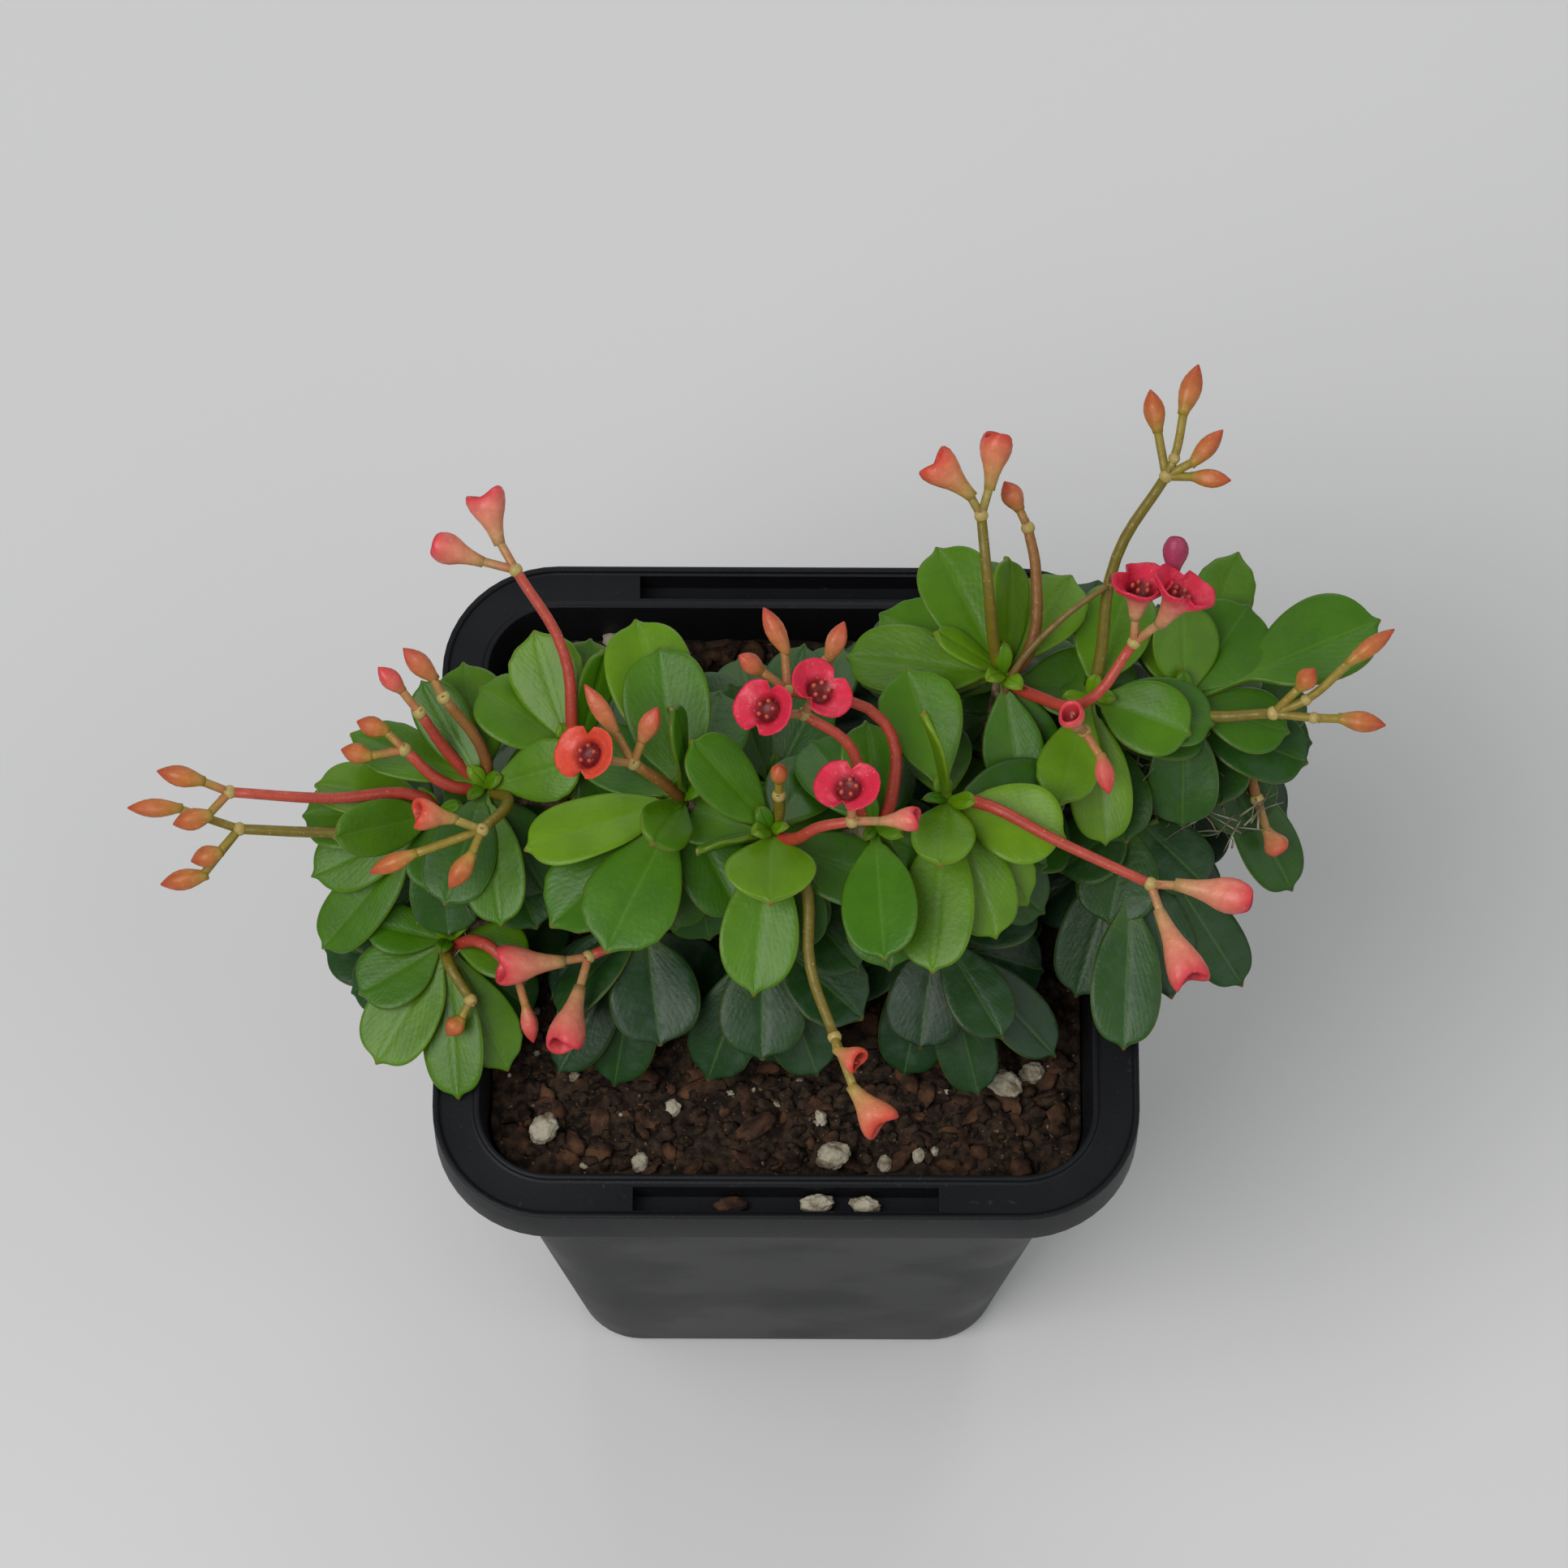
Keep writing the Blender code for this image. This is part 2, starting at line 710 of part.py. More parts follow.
def make_pot(collection, workshop):
    """The thin square shell: wall, sunken rim between two lips, and the skirt below it."""
    rim_top = POT_HEIGHT - RIM_SINK
    rim_under = rim_top - WALL
    skirt_foot = POT_HEIGHT - SKIRT_DEPTH

    def wall_ring(height, inset):
        return rounded_square(wall_half(height, inset), wall_corner(height, inset), height)

    def rim_ring(inset, height):
        return rounded_square(RIM_HALF - inset, RIM_CORNER - inset, height)

    rings = [
        wall_ring(0.0, 0.0),
        wall_ring(rim_under, 0.0),
        rim_ring(WALL, rim_under),
        rim_ring(WALL, skirt_foot),
        rim_ring(0.0, skirt_foot),
        rim_ring(0.0, POT_HEIGHT - LIP_BEVEL),
        rim_ring(LIP_BEVEL, POT_HEIGHT),
        rim_ring(LIP, POT_HEIGHT),
        rim_ring(LIP + LIP_BEVEL, rim_top),
        rim_ring(RIM_WIDTH - LIP - LIP_BEVEL, rim_top),
        rim_ring(RIM_WIDTH - LIP, POT_HEIGHT),
        rim_ring(RIM_WIDTH, POT_HEIGHT),
        wall_ring(FLOOR, WALL),
    ]
    bm = bmesh.new()
    loft(bm, rings)
    pot = workshop_piece(bm, "pot", workshop)

    # Each trough's bed fills the channel between the wall and the skirt
    bed_inner = RIM_HALF - RIM_WIDTH + BED_INTO_WALL
    bed_outer = RIM_HALF - BED_INTO_SKIRT
    trough_inner = RIM_HALF - WALL - TROUGH_WIDTH
    trough_outer = RIM_HALF - WALL
    trough_floor = POT_HEIGHT - TROUGH_DEPTH
    beds = []
    pockets = []
    for side in range(4):
        turn = Matrix.Rotation(math.radians(90) * side, 4, "Z")
        bed = block(
            "bed",
            (-TROUGH_HALF - WALL, -bed_outer, trough_floor - WALL),
            (TROUGH_HALF + WALL, -bed_inner, rim_top - WALL / 2),
            workshop,
        )
        pocket = block(
            "pocket",
            (-TROUGH_HALF, -trough_outer, trough_floor),
            (TROUGH_HALF, -trough_inner, POT_HEIGHT + WALL),
            workshop,
        )
        bed.data.transform(turn)
        pocket.data.transform(turn)
        beds.append(bed)
        pockets.append(pocket)
    combine(pot, beds, "UNION")
    drains = [
        frustum(
            "drain",
            Vector((x * DRAIN_OFFSET, y * DRAIN_OFFSET, -FLOOR)),
            Vector((x * DRAIN_OFFSET, y * DRAIN_OFFSET, 2 * FLOOR)),
            DRAIN_RADIUS,
            DRAIN_RADIUS,
            DRAIN_SIDES,
            workshop,
        )
        for x in (-1, 1)
        for y in (-1, 1)
    ]
    combine(pot, pockets + drains, "DIFFERENCE")
    return name_piece(pot, "pot", "pot", collection)


# The potting mix


def mix_height(x, y):
    """The uneven top of the potting mix."""
    broad = noise(Vector((x, y, 0.0)) * BROAD_SWELLS[0])
    fine = noise(Vector((x, y, 1.0)) * FINE_SWELLS[0])
    return MIX_TOP + MIX_BUMP * (BROAD_SWELLS[1] * broad + FINE_SWELLS[1] * fine)


def make_potting_mix(collection, workshop):
    """The block of mix in the pot, with a socket for each trunk."""
    inset = WALL + GAP
    low = FLOOR + GAP
    rings = [rounded_square(wall_half(low, inset), wall_corner(low, inset), low)]
    top_half = wall_half(MIX_TOP, inset)
    top_corner = wall_corner(MIX_TOP, inset)
    shoulder = MIX_TOP - 2 * MIX_BUMP
    rings.append(rounded_square(wall_half(shoulder, inset), wall_corner(shoulder, inset), shoulder))
    for share in MIX_RINGS:
        flat = rounded_square(top_half * share, top_corner * share, 0.0)
        rings.append([Vector((p.x, p.y, mix_height(p.x, p.y))) for p in flat])
    bm = bmesh.new()
    loft(bm, rings)
    mix = workshop_piece(bm, "potting_mix", workshop)
    sockets = []
    for (foot, _, radius), _ in TRUNKS.values():
        centre = in_metres(foot)
        sockets.append(
            frustum(
                "socket",
                centre - Vector((0, 0, TRUNK_DEPTH + GAP)),
                centre + Vector((0, 0, 4 * MIX_BUMP)),
                radius * MM + GAP,
                radius * MM + GAP,
                SOCKET_SIDES,
                workshop,
            )
        )
    combine(mix, sockets, "DIFFERENCE")
    return name_piece(mix, "potting_mix", "potting_mix", collection, smooth=False)


# The plant's wood


def make_stem(name, trunk, branches, collection, workshop):
    """A trunk standing in the mix, forking into a branch for each of its rosettes."""
    foot, fork, radius = trunk
    foot, fork, radius = in_metres(foot), in_metres(fork), radius * MM
    below = foot - Vector((0, 0, TRUNK_DEPTH))
    above = foot + Vector((0, 0, TRUNK_COLLAR))
    wood = tube(name, (below, above, fork), radius, workshop, sides=1)
    limbs = []
    for index, (rosette, bend) in enumerate(branches.items()):
        tip = in_metres(ROSETTES[rosette][0])
        bend = in_metres(bend)
        start = above.lerp(fork, HIGHEST_BRANCH - BRANCH_SPREAD * index / len(branches))
        end = tip - (tip - bend).normalized() * (SHOOT_RADIUS + GAP)
        limb = tube("limb", (start, bend, end), BRANCH_SHARE * radius, workshop, sides=1)
        limbs.append(limb)
    combine(wood, limbs, "UNION")
    return name_piece(wood, name, "stem", collection)


# Flowers


def flower_solids(kind, foot, tip, workshop):
    """The closed solid of a bud, a half-open flower or an open one."""
    axis = tip - foot
    length = axis.length
    if kind == "bud":
        centre = foot + axis * 0.5
        return [ellipsoid("bud", centre, axis, (BUD_RADIUS, BUD_RADIUS, length / 2), workshop)]
    mouth = foot + axis * SLEEVE_SHARE
    sleeve = frustum("sleeve", foot - axis * 0.08, mouth, SLEEVE_FOOT, SLEEVE_MOUTH, 6, workshop)
    if kind == "half":
        lips = ellipsoid(
            "lips",
            foot + axis * LIPS_SHARE,
            axis,
            (*LIPS_HALF[:2], LIPS_HALF[2] * length),
            workshop,
        )
        return [sleeve, lips]
    lobes = ellipsoid("lobes", mouth, axis, LOBES_HALF, workshop, segments=7)
    return [sleeve, lobes]


def make_flower_stalk(name, colour, points, heads, collection, workshop):
    """A stalk with its forks, necks and flowers as one piece."""
    points = [in_metres(point) for point in points]
    fork = points[-1]
    beyond = fork + (fork - points[-2]).normalized() * STALK_RADIUS
    stalk = tube(name, [*points[:-1], beyond], STALK_RADIUS, workshop)
    parts = []
    for kind, *route in heads:
        route = [in_metres(point) for point in route]
        foot, tip = route[-2:]
        into = foot + (tip - foot) * 0.15
        necks = [fork, *route[:-2], into]
        parts.append(tube("neck", necks, NECK_RADIUS, workshop))
        parts.extend(flower_solids(kind, foot, tip, workshop))
    combine(stalk, parts, "UNION")
    return name_piece(stalk, name, colour, collection)


# Leaves


class Leaf:
    """One leaf of a rosette, placed by its shoot tip, heading, rise and reach."""

    # Along the blade, from its foot (0) to its tip (1): share of the full width
    OUTLINE = ((0.04, 0.16), (0.5, 0.94), (0.85, 0.78))

    def __init__(self, shoot, heading, rise, reach, width, roll):
        self.shoot = shoot
        self.heading = heading
        self.rise = rise
        self.reach = reach
        self.width = width
        self.roll = roll

    def mesh(self, tilt, outer_only=False):
        """The leaf's lens-shaped solid as a bmesh, or only the outer part of its blade."""
        bm = bmesh.new()
        rings = len(self.OUTLINE) + 1
        bmesh.ops.create_uvsphere(bm, u_segments=4, v_segments=rings, radius=1.0)
        blade = min(self.reach * BLADE_SHARE, LONGEST_BLADE)
        foot = self.reach - blade
        first = self.OUTLINE[1][0] if outer_only else 0.0
        for vert in bm.verts:
            ring = round(math.acos(max(-1.0, min(1.0, vert.co.z))) / math.pi * rings)
            side = round(vert.co.x, 3)
            face = round(vert.co.y, 3)
            if ring == 0:
                along, across, up = 0.3 * MM + 0.02 * self.reach, 0.0, 0.0
                if outer_only:
                    along = foot + blade * first
            elif ring == rings:
                along, across, up = self.reach, 0.0, -TIP_DROOP
            else:
                share, spread = self.OUTLINE[ring - 1]
                share = max(share, first + 0.02)
                along = foot + blade * share
                across, up = 0.0, 0.0
                if abs(side) > 0.1:
                    across = math.copysign(1.0, side) * spread * self.width / 2
                if abs(face) > 0.1:
                    up = math.copysign(0.5, face) * LEAF_THICKNESS
                up += LEAF_CUP * abs(across) - TIP_DROOP * share * share
            vert.co = Vector((along, across, up))
        turn = (
            Matrix.Translation(self.shoot)
            @ Matrix.Rotation(self.heading, 4, "Z")
            @ Matrix.Rotation(-math.radians(self.rise + tilt), 4, "Y")
            @ Matrix.Rotation(math.radians(self.roll), 4, "X")
        )
        bm.transform(turn)
        face_outward(bm)
        return bm

    def swollen_tree(self, tilt, margin, outer_only=False):
        bm = self.mesh(tilt, outer_only)
        for vert in bm.verts:
            vert.co += vert.normal * margin
        return search_tree(bm)


def placed_leaf(shoot, tip_x, tip_y, rise, width, roll):
    """A leaf whose tip stands over a place on the plan."""
    plan = Vector((tip_x * MM - shoot.x, tip_y * MM - shoot.y))
    reach = plan.length / math.cos(math.radians(rise))
    heading = math.atan2(plan.y, plan.x)
    return Leaf(shoot, heading, rise, reach, width * MM, roll)


class Rosette:
    """A shoot tip and the leaves that found room round it."""

    def __init__(self, name, shoot):
        self.name = name
        self.shoot = in_metres(shoot)
        self.leaves = []  # (leaf, tilt)
        self.trees = []
        self.outer_trees = []

    def try_leaf(self, leaf, obstacles, neighbours):
        """Add a leaf at the first tilt that clears everything, or leave it out."""
        for tilt in TILTS:
            whole = leaf.swollen_tree(tilt, GAP + 0.05 * MM)
            if any(whole.overlap(tree) for tree in obstacles):
                continue
            others = [rosette for rosette in neighbours if rosette is not self]
            if any(whole.overlap(tree) for rosette in others for tree in rosette.trees):
                continue
            outer = leaf.swollen_tree(tilt, 0.0, outer_only=True)
            if any(outer.overlap(tree) for tree in self.outer_trees):
                continue
            self.leaves.append((leaf, tilt))
            self.trees.append(leaf.swollen_tree(tilt, 0.0))
            self.outer_trees.append(outer)
            return True
        return False

    def build(self, collection, workshop):
        axis = Vector((0, 0, 1))
        size = (SHOOT_RADIUS,) * 3
        shoot = ellipsoid(self.name, self.shoot, axis, size, workshop)
        blades = [workshop_piece(leaf.mesh(tilt), "leaf", workshop) for leaf, tilt in self.leaves]
        combine(shoot, blades, "UNION")
        return name_piece(shoot, self.name, "leaf", collection)


def shoot_tree(rosette):
    bm = bmesh.new()
    bmesh.ops.create_uvsphere(bm, u_segments=6, v_segments=4, radius=SHOOT_RADIUS)
    bmesh.ops.translate(bm, verts=bm.verts, vec=rosette.shoot)
    return search_tree(bm)


def make_rosettes(obstacles, collection, workshop):
    """Place the leaves one by one, the upper leaves of every rosette first, and build them."""
    rosettes = [Rosette(name, row[0]) for name, row in ROSETTES.items()]
    for rosette in rosettes:
        rosette.trees.append(shoot_tree(rosette))
    for rosette in rosettes:
        for leaf_row in ROSETTES[rosette.name][1]:
            leaf = placed_leaf(rosette.shoot, *leaf_row)
            if not rosette.try_leaf(leaf, obstacles, rosettes):
                print("no room for", rosette.name, leaf_row)
    for index, rosette in enumerate(rosettes):
        wanted = ROSETTES[rosette.name][2]
        for turn in range(TURNS_PER_LEAF * wanted):
            if wanted == 0:
                break
            heading = GOLDEN_ANGLE * turn + index
            leaf = Leaf(
                rosette.shoot,
                heading,
                UNDER_LEAF_RISE,
                UNDER_LEAF_REACH,
                UNDER_LEAF_WIDTH,
                0,
            )
            if rosette.try_leaf(leaf, obstacles, rosettes):
                wanted -= 1
    return [rosette.build(collection, workshop) for rosette in rosettes]


# Loose grains


GRAIN_ROUGH = 0.12  # how far a grain's surface swells, as a share of its size
GRAIN_SWELLS = 900  # swells per metre


def make_grain(name, place, sizes, turn, height, material, collection, workshop):
    centre = Vector((place[0] * MM, place[1] * MM, height + sizes[2] * MM))
    half_sizes = [size * MM for size in sizes]
    grain = ellipsoid(name, Vector(), Vector((0, 0, 1)), half_sizes, workshop)
    for vert in grain.data.vertices:
        vert.co *= 1 + GRAIN_ROUGH * noise(vert.co * GRAIN_SWELLS)
    grain.data.transform(Matrix.Translation(centre) @ Matrix.Rotation(math.radians(turn), 4, "Z"))
    return name_piece(grain, name, material, collection)


def make_grains(collection, workshop):
    trough_floor = POT_HEIGHT - TROUGH_DEPTH
    for name, (place, sizes, turn) in TROUGH_GRAINS.items():
        material = name.split("_")[0]
        height = trough_floor + 2 * GAP
        make_grain(name, place, sizes, turn, height, material, collection, workshop)
    for name, (place, sizes, turn) in MIX_GRAINS.items():
        material = name.split("_")[0]
        height = MIX_TOP + MIX_BUMP
        make_grain(name, place, sizes, turn, height, material, collection, workshop)


def main():
    clear_scene()
    plant = new_collection("potted_euphorbia")
    workshop = new_collection("workshop")
    solids = [make_pot(plant, workshop), make_potting_mix(plant, workshop)]
    for name, (trunk, branches) in TRUNKS.items():
        solids.append(make_stem(name, trunk, branches, plant, workshop))
    for number, (colour, points, heads) in enumerate(FLOWER_STALKS, start=1):
        name = f"flower_stalk_{number:02d}"
        solids.append(make_flower_stalk(name, colour, points, heads, plant, workshop))
    make_rosettes([tree_of(solid) for solid in solids], plant, workshop)
    make_grains(plant, workshop)


main()
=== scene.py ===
# %% [markdown]
# # A potted euphorbia
# A low succulent with spoon-shaped leaves and coral flower stalks, growing in a square
# nursery pot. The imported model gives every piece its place. This lesson makes the
# finished surfaces: first the light and camera, then the pot, the soil and the plant.

# %% Load the frame
import math
import random

import bmesh
import bpy
import numpy as np
from mathutils import Matrix, Vector


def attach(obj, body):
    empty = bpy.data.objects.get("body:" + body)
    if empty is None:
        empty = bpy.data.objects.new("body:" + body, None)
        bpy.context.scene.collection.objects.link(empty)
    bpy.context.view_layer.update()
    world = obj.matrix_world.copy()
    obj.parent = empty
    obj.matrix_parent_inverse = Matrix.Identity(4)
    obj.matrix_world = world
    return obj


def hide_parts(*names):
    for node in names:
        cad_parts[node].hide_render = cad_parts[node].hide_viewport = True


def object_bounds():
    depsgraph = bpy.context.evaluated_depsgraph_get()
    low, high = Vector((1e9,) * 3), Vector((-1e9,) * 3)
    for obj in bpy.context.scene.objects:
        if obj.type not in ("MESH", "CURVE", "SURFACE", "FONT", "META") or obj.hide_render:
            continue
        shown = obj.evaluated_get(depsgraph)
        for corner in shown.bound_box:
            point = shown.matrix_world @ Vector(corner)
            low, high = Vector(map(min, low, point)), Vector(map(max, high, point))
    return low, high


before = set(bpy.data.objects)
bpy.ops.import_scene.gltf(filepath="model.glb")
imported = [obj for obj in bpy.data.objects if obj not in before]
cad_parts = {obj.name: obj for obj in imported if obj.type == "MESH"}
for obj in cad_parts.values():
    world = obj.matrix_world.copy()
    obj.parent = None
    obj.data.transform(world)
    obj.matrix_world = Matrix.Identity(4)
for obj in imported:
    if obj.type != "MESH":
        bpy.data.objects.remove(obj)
cad_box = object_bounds()
MM = 0.001
random.seed(11)
print("frame:", len(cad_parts), "nodes")

# %% [markdown]
# ## Small helpers
# An operator acts on all that is selected, so a step starts by selecting one piece. In
# edit mode the points to move are picked in code, by their number or their place.


# %% Helpers for selecting
def only(piece):
    """Deselect everything, then select one piece and make it active."""
    bpy.ops.object.select_all(action="DESELECT")
    piece.select_set(True)
    bpy.context.view_layer.objects.active = piece
    return piece


def pick(piece, wanted):
    """In edit mode, select only the points for which wanted(point) is true."""
    mesh = bmesh.from_edit_mesh(piece.data)
    for point in mesh.verts:
        point.select = wanted(point)
    mesh.select_flush_mode()
    bmesh.update_edit_mesh(piece.data)


def edit(piece):
    only(piece)
    bpy.ops.object.mode_set(mode="EDIT")
    bpy.ops.mesh.select_mode(type="VERT")


def done():
    bpy.ops.object.mode_set(mode="OBJECT")


def added(name):
    """Name the primitive that was just added."""
    piece = bpy.context.active_object
    piece.name = name
    piece.data.name = name
    return piece


def points_of(piece):
    places = np.empty(len(piece.data.vertices) * 3)
    piece.data.vertices.foreach_get("co", places)
    return places.reshape(-1, 3)


def set_points(piece, places):
    piece.data.vertices.foreach_set("co", places.astype(np.float32).ravel())
    piece.data.update()


def paint(piece, name, values):
    """Store one number for each point of a piece, for its material to read."""
    layer = piece.data.attributes.get(name)
    if layer is None:
        layer = piece.data.attributes.new(name, "FLOAT", "POINT")
    layer.data.foreach_set("value", np.broadcast_to(values, len(layer.data)).astype(np.float32))


def tint(piece, colours):
    """Store a colour for each point of a piece."""
    layer = piece.data.attributes.get("tint")
    if layer is None:
        layer = piece.data.attributes.new("tint", "FLOAT_COLOR", "POINT")
    full = np.ones((len(layer.data), 4), np.float32)
    full[:, :3] = colours
    layer.data.foreach_set("color", full.ravel())


def joined(pieces, name):
    """Join pieces into the first one."""
    bpy.ops.object.select_all(action="DESELECT")
    for piece in pieces:
        piece.select_set(True)
    bpy.context.view_layer.objects.active = pieces[0]
    if len(pieces) > 1:
        bpy.ops.object.join()
    return added(name)


def copied(form):
    piece = form.copy()
    piece.data = form.data.copy()
    bpy.context.scene.collection.objects.link(piece)
    return piece


def moved(piece, matrix):
    piece.data.transform(matrix)
    return piece


def drop(*pieces):
    for piece in pieces:
        bpy.data.objects.remove(piece, do_unlink=True)


def apply_all(piece):
    only(piece)
    for modifier in list(piece.modifiers):
        bpy.ops.object.modifier_apply(modifier=modifier.name)


def finish_piece(piece, material, slot, *nodes, smooth=True):
    """Give a piece its material, shade it smooth, attach it to the root and hide the nodes it stands for. The slot is
    not used.
    """
    piece.data.materials.clear()
    piece.data.materials.append(material)
    if smooth:
        only(piece)
        bpy.ops.object.shade_smooth()
    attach(piece, "root")
    if nodes:
        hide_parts(*nodes)
    return piece


# %% [markdown]
# ## Floor, light and camera
# The plant stands on a plain pale floor in soft light: a large lamp above and to the
# left, a weaker one from the right, and a low one behind. The camera looks steeply down.

# %% Floor, lights and camera
PLANT_MIDDLE = Vector((-0.00045, 0.01429, 0.100))
CAMERA_RISE = math.radians(68.0)
CAMERA_TURN = math.radians(0.24)
CAMERA_DISTANCE = 0.981
SENSOR_WIDTH = 36.0
LENS = 174.1


def add_lamp(name, place, size, power, colour=(1.0, 1.0, 1.0)):
    bpy.ops.object.light_add(type="AREA", location=place)
    lamp = bpy.context.active_object
    lamp.name = name
    lamp.data.energy = power
    lamp.data.size = size
    lamp.data.color = colour
    lamp.rotation_euler = (PLANT_MIDDLE - Vector(place)).to_track_quat("-Z", "Y").to_euler()


bpy.ops.object.select_all(action="DESELECT")
bpy.ops.mesh.primitive_plane_add(size=8.0)
floor = added("floor")
add_lamp("key_lamp", (-0.45, -0.35, 1.0), 0.7, 8.6)
add_lamp("fill_lamp", (0.7, -0.3, 0.7), 0.9, 2.4)
add_lamp("back_lamp", (0.1, 0.9, 0.6), 0.8, 3.0)

world = bpy.data.worlds.new("studio")
world.use_nodes = True
world.node_tree.nodes["Background"].inputs["Color"].default_value = (0.85, 0.88, 0.92, 1.0)
world.node_tree.nodes["Background"].inputs["Strength"].default_value = 0.28
bpy.context.scene.world = world

back = Vector(
    (
        math.sin(CAMERA_TURN) * math.cos(CAMERA_RISE),
        -math.cos(CAMERA_TURN) * math.cos(CAMERA_RISE),
        math.sin(CAMERA_RISE),
    )
)
bpy.ops.object.camera_add(location=PLANT_MIDDLE + back * CAMERA_DISTANCE)
camera = bpy.context.active_object
camera.rotation_euler = back.to_track_quat("Z", "Y").to_euler()
camera.data.sensor_width = SENSOR_WIDTH
camera.data.lens = LENS
camera.data.clip_end = 20.0
bpy.context.scene.camera = camera
bpy.context.scene.view_settings.view_transform = "Standard"
print("camera at", [round(v, 3) for v in camera.location])

# %% [markdown]
# ## A bench for materials
# Each finish is a small tree of nodes. These helpers add a node and join it, so that
# each material below reads as a short list of what the surface does.


# %% Material helpers
def new_material(name, roughness, specular=0.5):
    material = bpy.data.materials.new(name)
    material.use_nodes = True
    shader = material.node_tree.nodes["Principled BSDF"]
    shader.inputs["Roughness"].default_value = roughness
    shader.inputs["Specular IOR Level"].default_value = specular
    return material, shader


def node(material, kind, **settings):
    made = material.node_tree.nodes.new(kind)
    for name, value in settings.items():
        setattr(made, name, value)
    return made


def join(material, start, end):
    material.node_tree.links.new(start, end)


def noise(material, scale, detail=3.0, vector=None):
    """Noise over Object coordinates, as a number from 0 to 1. The scale is per metre."""
    made = node(material, "ShaderNodeTexNoise")
    made.inputs["Scale"].default_value = scale
    made.inputs["Detail"].default_value = detail
    if vector is None:
        vector = node(material, "ShaderNodeTexCoord").outputs["Object"]
    join(material, vector, made.inputs["Vector"])
    return made.outputs["Fac"]


def stretch(material, value, low, high, to_low=0.0, to_high=1.0, smooth=True):
    """Turn the range low..high of a number into to_low..to_high."""
    made = node(material, "ShaderNodeMapRange")
    made.interpolation_type = "SMOOTHSTEP" if smooth else "LINEAR"
    join(material, value, made.inputs["Value"])
    for name, number in (("From Min", low), ("From Max", high), ("To Min", to_low), ("To Max", to_high)):
        made.inputs[name].default_value = number
    return made.outputs["Result"]


def sums(material, operation, first, second):
    made = node(material, "ShaderNodeMath", operation=operation)
    for place, value in enumerate((first, second)):
        if isinstance(value, (int, float)):
            made.inputs[place].default_value = value
        else:
            join(material, value, made.inputs[place])
    return made.outputs["Value"]


def blend(material, share, first, second, way="MIX"):
    """Mix two colours. Each is a colour or an output."""
    made = node(material, "ShaderNodeMix", data_type="RGBA", blend_type=way)
    if isinstance(share, (int, float)):
        made.inputs["Factor"].default_value = share
    else:
        join(material, share, made.inputs["Factor"])
    for place, value in ((6, first), (7, second)):
        if isinstance(value, tuple):
            made.inputs[place].default_value = (*value, 1.0)
        else:
            join(material, value, made.inputs[place])
    return made.outputs[2]


def bump(material, shader, height, depth, strength=1.0):
    made = node(material, "ShaderNodeBump")
    made.inputs["Strength"].default_value = strength
    made.inputs["Distance"].default_value = depth
    join(material, height, made.inputs["Height"])
    join(material, made.outputs["Normal"], shader.inputs["Normal"])


def attribute(material, name, output="Fac"):
    return node(material, "ShaderNodeAttribute", attribute_name=name).outputs[output]


# %% Floor material
floor_look, floor_shader = new_material("pale_floor", 0.6, 0.3)
floor_colour = blend(floor_look, noise(floor_look, 3.0), (0.60, 0.60, 0.59), (0.64, 0.64, 0.63))
join(floor_look, floor_colour, floor_shader.inputs["Base Color"])
floor.data.materials.append(floor_look)

# %% [markdown]
# ## The pot
# A nursery pot is one thin moulded shell. It is made by extruding the edge of its base
# ring by ring: up the wall, out to the rim, down the skirt, back up and over the two
# lips, and down the inside. Each ring is a square with rounded corners. The troughs in
# the rim and the drain holes are then cut with Booleans, which is how a sharp-edged
# pocket is easiest to make.

# %% Pot sizes
POT_HEIGHT = 100 * MM
BASE_HALF, BASE_CORNER = 29 * MM, 9 * MM
RIM_HALF, RIM_CORNER = 45 * MM, 15 * MM
RIM_WIDTH = 6 * MM
WALL = 1.2 * MM
POT_FLOOR = 1.5 * MM
LIP = 0.8 * MM
RIM_SINK = 0.6 * MM
SKIRT_FOOT = POT_HEIGHT - 7.8 * MM
TROUGH_HALF = 19.4 * MM
TROUGH_WIDTH = 3.2 * MM
TROUGH_FLOOR = POT_HEIGHT - 4.5 * MM
DRAIN_RADIUS, DRAIN_OFFSET = 3.5 * MM, 16 * MM
CORNER_STEPS = 12


def rounded_square(half, corner, height, steps=CORNER_STEPS):
    """Points round a square with rounded corners, as an array."""
    points = []
    centre = half - corner
    for quarter in range(4):
        middle = math.radians(90 * quarter + 45)
        for step in range(steps + 1):
            angle = math.radians(90) * (quarter + step / steps)
            x = math.copysign(centre, math.cos(middle)) + corner * math.cos(angle)
            y = math.copysign(centre, math.sin(middle)) + corner * math.sin(angle)
            points.append((x, y, height))
    return np.array(points)


def wall_ring(height, inset):
    share = height / POT_HEIGHT
    half = BASE_HALF + (RIM_HALF - RIM_WIDTH + WALL - BASE_HALF) * share - inset
    corner = BASE_CORNER + (RIM_CORNER - RIM_WIDTH + WALL - BASE_CORNER) * share - inset
    return rounded_square(half, corner, height)


def rim_ring(inset, height):
    return rounded_square(RIM_HALF - inset, RIM_CORNER - inset, height)


